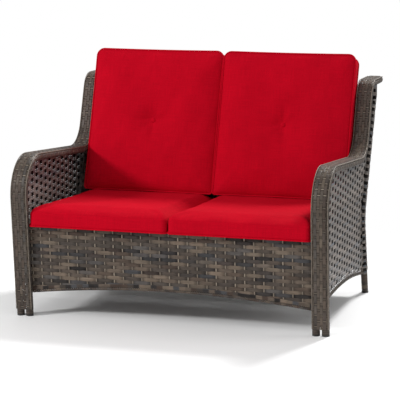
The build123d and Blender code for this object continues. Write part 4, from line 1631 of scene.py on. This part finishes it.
@dataclass
class CushionSet:
    """The four loose cushions: their planes, sizes and covers."""

    seat_origin: tuple = (0.0, -0.4555, 0.344)
    seat_fall: float = 3.4
    back_origin: tuple = (0.0, 0.15343, 0.3078)
    recline: float = 18.5
    inner_x: float = 0.0006
    outer_x: float = 0.528
    seat_outer_x: float = 0.5292
    droop: float = 0.006
    seat_low: float = -0.040
    seat_high: float = 0.6097
    seat_crown: float = 0.078
    back_low: float = 0.0817
    back_high: float = 0.6340
    back_crown: float = 0.108
    lift: float = 0.0003
    lean: float = 0.27
    tuft_up: float = 0.345
    button_radius: float = 0.011
    button_height: float = 0.006
    button_under: float = 0.9
    button_seat: float = 0.001
    tuft_depth: float = 0.024

    def seat_plane(self) -> PlaneSurface:
        """Top of the seat deck, across and to the rear."""
        fall = math.radians(self.seat_fall)
        up = np.array([0, math.cos(fall), -math.sin(fall)])
        return PlaneSurface(np.array(self.seat_origin), np.array([1.0, 0, 0]), up)

    def back_plane(self) -> PlaneSurface:
        """Front of the woven back, across and up."""
        lean = math.radians(self.recline)
        up = np.array([0, math.sin(lean), math.cos(lean)])
        return PlaneSurface(np.array(self.back_origin), np.array([1.0, 0, 0]), up)

    def sides(self, side: int, outer: float | None = None) -> tuple[float, float]:
        """Left and right edge of a side's cushions."""
        return tuple(sorted((side * self.inner_x, side * (outer or self.outer_x))))

    def seat(self, side: int) -> Cushion:
        """Seat cushion of a side."""
        left, right = self.sides(side, self.seat_outer_x)
        slack = 0.0015
        form = CushionForm(
            low=(left + slack, self.seat_low + slack), high=(right - slack, self.seat_high - slack),
            seams=(self.lift + 0.0045, 0.050), crown=self.seat_crown - 0.003, corner=0.009,
            draw=0.001, rounding=0.032, side_rounding=0.020, bulge=0.006,
        )
        room = Room(
            (left, self.seat_low - 0.006, self.lift),
            (right, self.seat_high, self.seat_crown + 0.0005),
        )
        return Cushion(
            form, self.seat_plane(), room, most=0.014, droop=self.droop, droop_from=-0.016,
            seed=3 + side,
        )

    def back(self, side: int) -> Cushion:
        """Back cushion of a side, with its tuft."""
        left, right = self.sides(side, self.seat_outer_x)
        slack = 0.0010
        form = CushionForm(
            low=(left + slack, self.back_low + slack), high=(right - slack, self.back_high - slack),
            seams=(self.lift + 0.014, 0.0756), crown=self.back_crown - 0.010, corner=0.030,
            low_corner=0.010, draw=0.002, slant=self.lean, rounding=0.036, bulge=0.008,
        )
        room = Room(
            (left, self.back_low + 0.001, self.lift), (right, self.back_high + 0.005, 0.118),
            self.lean,
        )
        return Cushion(
            form, self.back_plane(), room, most=0.016,
            pit=(sum(self.sides(side)) / 2, self.tuft_up),
            pit_level=self.lift + self.back_crown - self.tuft_depth, seed=7 + side,
        )

    def button(self, side: int, name: str, finish: bpy.types.Material) -> bpy.types.Object:
        """Covered button: a low dome, its height the root of one less the reach squared."""
        mesher = Mesher()
        turn = round_angles(32)
        reach = np.sin(np.linspace(0.02, math.pi / 2, 9)) * self.button_radius
        rise = np.sqrt(1 - (reach / self.button_radius) ** 2) * self.button_height
        under = np.full(len(reach), -self.button_seat)
        reach, rise = np.append(reach, reach[::-1] * self.button_under), np.append(rise, under)
        left, right = self.sides(side)
        level = self.lift + self.back_crown - self.tuft_depth
        ring = reach[:, None] * np.cos(turn), reach[:, None] * np.sin(turn)
        points = self.back_plane()(
            (left + right) / 2 + ring[0], self.tuft_up + ring[1], level + rise[:, None]
        )
        run = np.stack([ring[0], ring[1], np.zeros_like(ring[0])], -1)
        mesher.grid(points, np.ones(3), run, around=True, ring=False)
        return clothed(mesher.build(name, finish))


# Stage


@dataclass
class Studio:
    """Pale floor, soft lamps and the camera at the photograph's angle."""

    camera_place: tuple = (1.8127, -6.2524, 1.5247)
    camera_turn: float = 16.0079
    camera_drop: float = 9.9555
    focal_pixels: float = 1718.345
    frame_pixels: int = 400
    centre_pixel: tuple = (209.396, 200.660)
    sensor: float = 36.0
    ambient: float = 0.46
    aim_z: float = 0.4
    fade_centre: tuple = (0.0, -0.35, 0.0)
    fade_from: float = 0.8
    fade_to: float = 1.9
    lamps: tuple = (
        ("key", (-4.4, -4.0, 3.1), 0.8, 240),
        ("side", (5.5, 1.4, 2.2), 2.2, 70),
        ("front", (-0.5, -5.0, 6.0), 4.0, 115),
        ("top", (2.2, 4.6, 5.6), 1.6, 520),
    )

    def camera(self) -> None:
        """Sets the camera: the lens from the focal length in pixels, the shift from its centre."""
        data = bpy.data.cameras.new("camera")
        data.sensor_width = self.sensor
        data.lens = self.focal_pixels / self.frame_pixels * self.sensor
        half = self.frame_pixels / 2
        data.shift_x = -(self.centre_pixel[0] - half) / self.frame_pixels
        data.shift_y = (self.centre_pixel[1] - half) / self.frame_pixels
        data.clip_end = 60
        camera = bpy.data.objects.new("camera", data)
        camera.location = self.camera_place
        camera.rotation_euler = (
            math.radians(90 - self.camera_drop), 0, math.radians(self.camera_turn)
        )
        bpy.context.scene.collection.objects.link(camera)
        bpy.context.scene.camera = camera

    def world(self) -> None:
        """White where the camera sees it, straight or through a clear face, and soft grey light."""
        world = bpy.data.worlds.new("studio")
        bpy.context.scene.world = world
        world.use_nodes = True
        tree = world.node_tree
        tree.nodes.clear()
        rays = tree.nodes.new("ShaderNodeLightPath")
        sent = tree.nodes.new("ShaderNodeMath")
        sent.operation = "MAXIMUM"
        tree.links.new(rays.outputs["Is Camera Ray"], sent.inputs[0])
        tree.links.new(rays.outputs["Is Transmission Ray"], sent.inputs[1])
        light = tree.nodes.new("ShaderNodeBackground")
        light.inputs[0].default_value = (1, 1, 1, 1)
        light.inputs[1].default_value = self.ambient
        white = tree.nodes.new("ShaderNodeBackground")
        white.inputs[0].default_value = (1, 1, 1, 1)
        mix = tree.nodes.new("ShaderNodeMixShader")
        output = tree.nodes.new("ShaderNodeOutputWorld")
        tree.links.new(sent.outputs[0], mix.inputs[0])
        tree.links.new(light.outputs[0], mix.inputs[1])
        tree.links.new(white.outputs[0], mix.inputs[2])
        tree.links.new(mix.outputs[0], output.inputs[0])

    def lamp(self, name: str, place: tuple, size: float, power: float) -> None:
        """Sets a square soft lamp turned to the loveseat's middle.

        Args:
            name: Name of the lamp.
            place: Where it stands.
            size: Side of its square, in metres.
            power: Its power, in watts.
        """
        data = bpy.data.lights.new(name, "AREA")
        data.size = size
        data.energy = power
        lamp = bpy.data.objects.new(name, data)
        lamp.location = place
        way = np.array([0, 0, self.aim_z]) - np.array(place)
        yaw = math.atan2(way[1], way[0]) - math.pi / 2
        tilt = math.atan2(math.hypot(way[0], way[1]), -way[2])
        lamp.rotation_euler = (tilt, 0, yaw)
        bpy.context.scene.collection.objects.link(lamp)

    def floor(self) -> None:
        """Round white floor that fades into the white surroundings at its rim."""
        rings, sectors, reach = 24, 96, 9.0
        radius = reach * (np.linspace(0.0005, 1, rings)) ** 1.5
        angle = np.linspace(0, 2 * math.pi, sectors, endpoint=False)
        grid = np.stack(
            [
                radius[:, None] * np.cos(angle),
                radius[:, None] * np.sin(angle),
                np.zeros((rings, sectors)),
            ],
            -1,
        )
        mesher = Mesher()
        mesher.grid(grid, np.ones(3), np.zeros(3), around=True, ring=True)
        mesher.faces[0] = mesher.faces[0][: (rings - 1) * sectors]
        shader = Shader("white_floor")
        place = shader.place()
        distance = shader.node(
            "ShaderNodeVectorMath", {0: place, 1: self.fade_centre}, operation="DISTANCE"
        )
        fade = shader.ramp(distance.outputs["Value"], self.fade_from, self.fade_to, 0.0, 1.0)
        clear = shader.node("ShaderNodeBsdfTransparent")
        mix = shader.node(
            "ShaderNodeMixShader", {0: fade, 1: shader.bsdf.outputs[0], 2: clear.outputs[0]}
        )
        output = shader.tree.nodes["Material Output"]
        shader.feed(output, 0, mix.outputs[0])
        shader.set(Base_Color=(0.93, 0.93, 0.93, 1), Roughness=0.55, Specular_IOR_Level=0.2)
        floor = mesher.build("floor", shader.material)

    def build(self) -> None:
        """Sets the whole stage."""
        bpy.context.scene.view_settings.view_transform = "Standard"
        self.camera()
        self.world()
        for lamp in self.lamps:
            self.lamp(*lamp)
        self.floor()


def dress(node: str, finish: bpy.types.Material) -> None:
    """Gives a carried-over CAD node its finish."""
    mesh = frame["nodes"][node].data
    mesh.materials.clear()
    mesh.materials.append(finish)


def place(piece: bpy.types.Object, body: str, slot: str, *nodes: str) -> None:
    """Rides a piece on its body and hides the nodes that it stands for.

    Args:
        piece: The finished piece.
        body: The body that it rides on.
        slot: Its material slot in the record; not used.
        nodes: The CAD nodes that it stands for.
    """
    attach(piece, body)
    if nodes:
        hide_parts(*nodes)
    LOG.info("%s on %s, %d faces", piece.name, body, len(piece.data.polygons))


def dress_nodes() -> None:
    """Gives the CAD's own nodes their finishes, by slot and by name."""
    slots = {
        "frame_steel": PowderCoat().build(),
        "glide_plastic": MouldedPlastic("glide_plastic", "1c1b1b").build(),
        "bolt_steel": ZincSteel().build(),
        "edge_cord": EdgeCord().build(),
    }
    for row in frame["record"]["subparts"]:
        if row["material_slot"] in slots:
            dress(row["node"], slots[row["material_slot"]])
    dress("front_foot_wraps", WrappedResin("wound_foot_resin", "Z").build())
    knob = WrappedResin("wound_knob_resin", "Y").build()
    for word in SIDES:
        dress(f"{word}_roll_end_cap", knob)


def lay_sides(resin: bpy.types.Material, view: SideView, panels: WovenPanels) -> None:
    """Lays the arm bands, side panels, rear posts and side arches."""
    band = ArmBand(view)
    wound = WoundTube()
    close = WoundTube(pitch=panels.side_weave.row_pitch / 2, strand=Strand(0.0067, 0.0014))
    bead_radius = panels.bead_radius - wound.strand.thickness / 2
    for word, side in SIDES.items():
        place(
            band.build(side, f"{word}_band_weave", resin), FRAME_BODY, "woven_resin",
            f"{word}_arm_band",
        )
        weave, stakes = panels.side_panel(side, f"{word}_side", resin)
        place(weave, FRAME_BODY, "woven_resin", f"{word}_side_panel")
        place(stakes, FRAME_BODY, "woven_resin")
        post = Strands(Palette.SIDE.tones, Seed.POST + side)
        line = view.line(view.post_points(), view.post_x, side)
        rail = np.searchsorted(line.points[:, 2], panels.side_arch_rear_z)
        start = float(line.reach[rail])
        foot = Strands(Palette.BAND.tones, Seed.POST_FOOT + side)
        wound.wind(foot, line, view.post_weave_radius, view.glide_top, start)
        close.hoops(
            post, line, view.post_weave_radius, start, line.length - 0.012,
            math.pi / 2 - side * math.pi / 4,
        )
        place(
            outward(post, f"{word}_post_hoops", resin), FRAME_BODY, "woven_resin",
            f"{word}_rear_post_skin",
        )
        place(outward(foot, f"{word}_post_foot_wrap", resin), FRAME_BODY, "woven_resin")
        bead = Strands(Palette.BAND.tones, Seed.SIDE_BEAD + side)
        line = panels.side_bead(side)
        wound.wind(bead, line, bead_radius, 0.0, line.length)
        panels.lace(bead, side)
        place(
            outward(bead, f"{word}_side_arch_wrap", resin), FRAME_BODY, "wrapped_resin",
            f"{word}_side_arch_rail",
        )


def lay_panels(resin: bpy.types.Material, panels: WovenPanels, cushions: CushionSet) -> None:
    """Lays the aprons with their arches, the back panel and the seat deck."""
    wound = WoundTube()
    bead_radius = panels.bead_radius - wound.strand.thickness / 2
    for name, (pieces, line) in {
        "front_apron": panels.front_apron(resin), "rear_apron": panels.rear_apron(resin)
    }.items():
        place(pieces[0], FRAME_BODY, "woven_resin", name)
        place(pieces[1], FRAME_BODY, "woven_resin")
        bead = Strands(Palette.BAND.tones, Seed.APRON_BEAD.value)
        wound.wind(bead, line, bead_radius, 0.0, line.length)
        place(
            outward(bead, f"{name}_arch_wrap", resin), FRAME_BODY, "wrapped_resin",
            f"{name}_arch_rail",
        )
    for name, pieces in {
        "back_panel": panels.back(cushions.back_plane(), resin),
        "seat_deck": panels.deck(cushions.seat_plane(), resin),
    }.items():
        place(pieces[0], FRAME_BODY, "woven_resin", name)
        place(pieces[1], FRAME_BODY, "woven_resin")


def lay_cushions(cushions: CushionSet) -> None:
    """Lays the four cushions with their piping and buttons."""
    fabric = CushionCloth("cushion_fabric").build()
    for word, side in SIDES.items():
        for kind, cushion in (("seat", cushions.seat(side)), ("back", cushions.back(side))):
            body = f"{word}_{kind}_cushion"
            cover, seams = cushion.sew(f"{body}_cloth", fabric)
            place(cover, body, "cushion_fabric", f"{body}_cover", f"{body}_core")
            loops = seams[:1] if kind == "seat" else seams
            place(
                cushion.piping(f"{body}_cord", loops, fabric), body, "cushion_fabric",
                f"{body}_piping",
            )
        body = f"{word}_back_cushion"
        place(
            cushions.button(side, f"{body}_covered_button", fabric), body, "cushion_fabric",
            f"{body}_button",
        )


def main() -> None:
    """Builds the stage, the frame and the cushions in order."""
    logging.basicConfig(level=logging.INFO, format="%(message)s")
    Studio().build()
    view = SideView()
    panels = WovenPanels(view)
    cushions = CushionSet()
    resin = StrandResin("woven_resin").build()
    dress_nodes()
    lay_sides(resin, view, panels)
    lay_panels(resin, panels, cushions)
    lay_cushions(cushions)


if __name__ == "__main__":
    main()
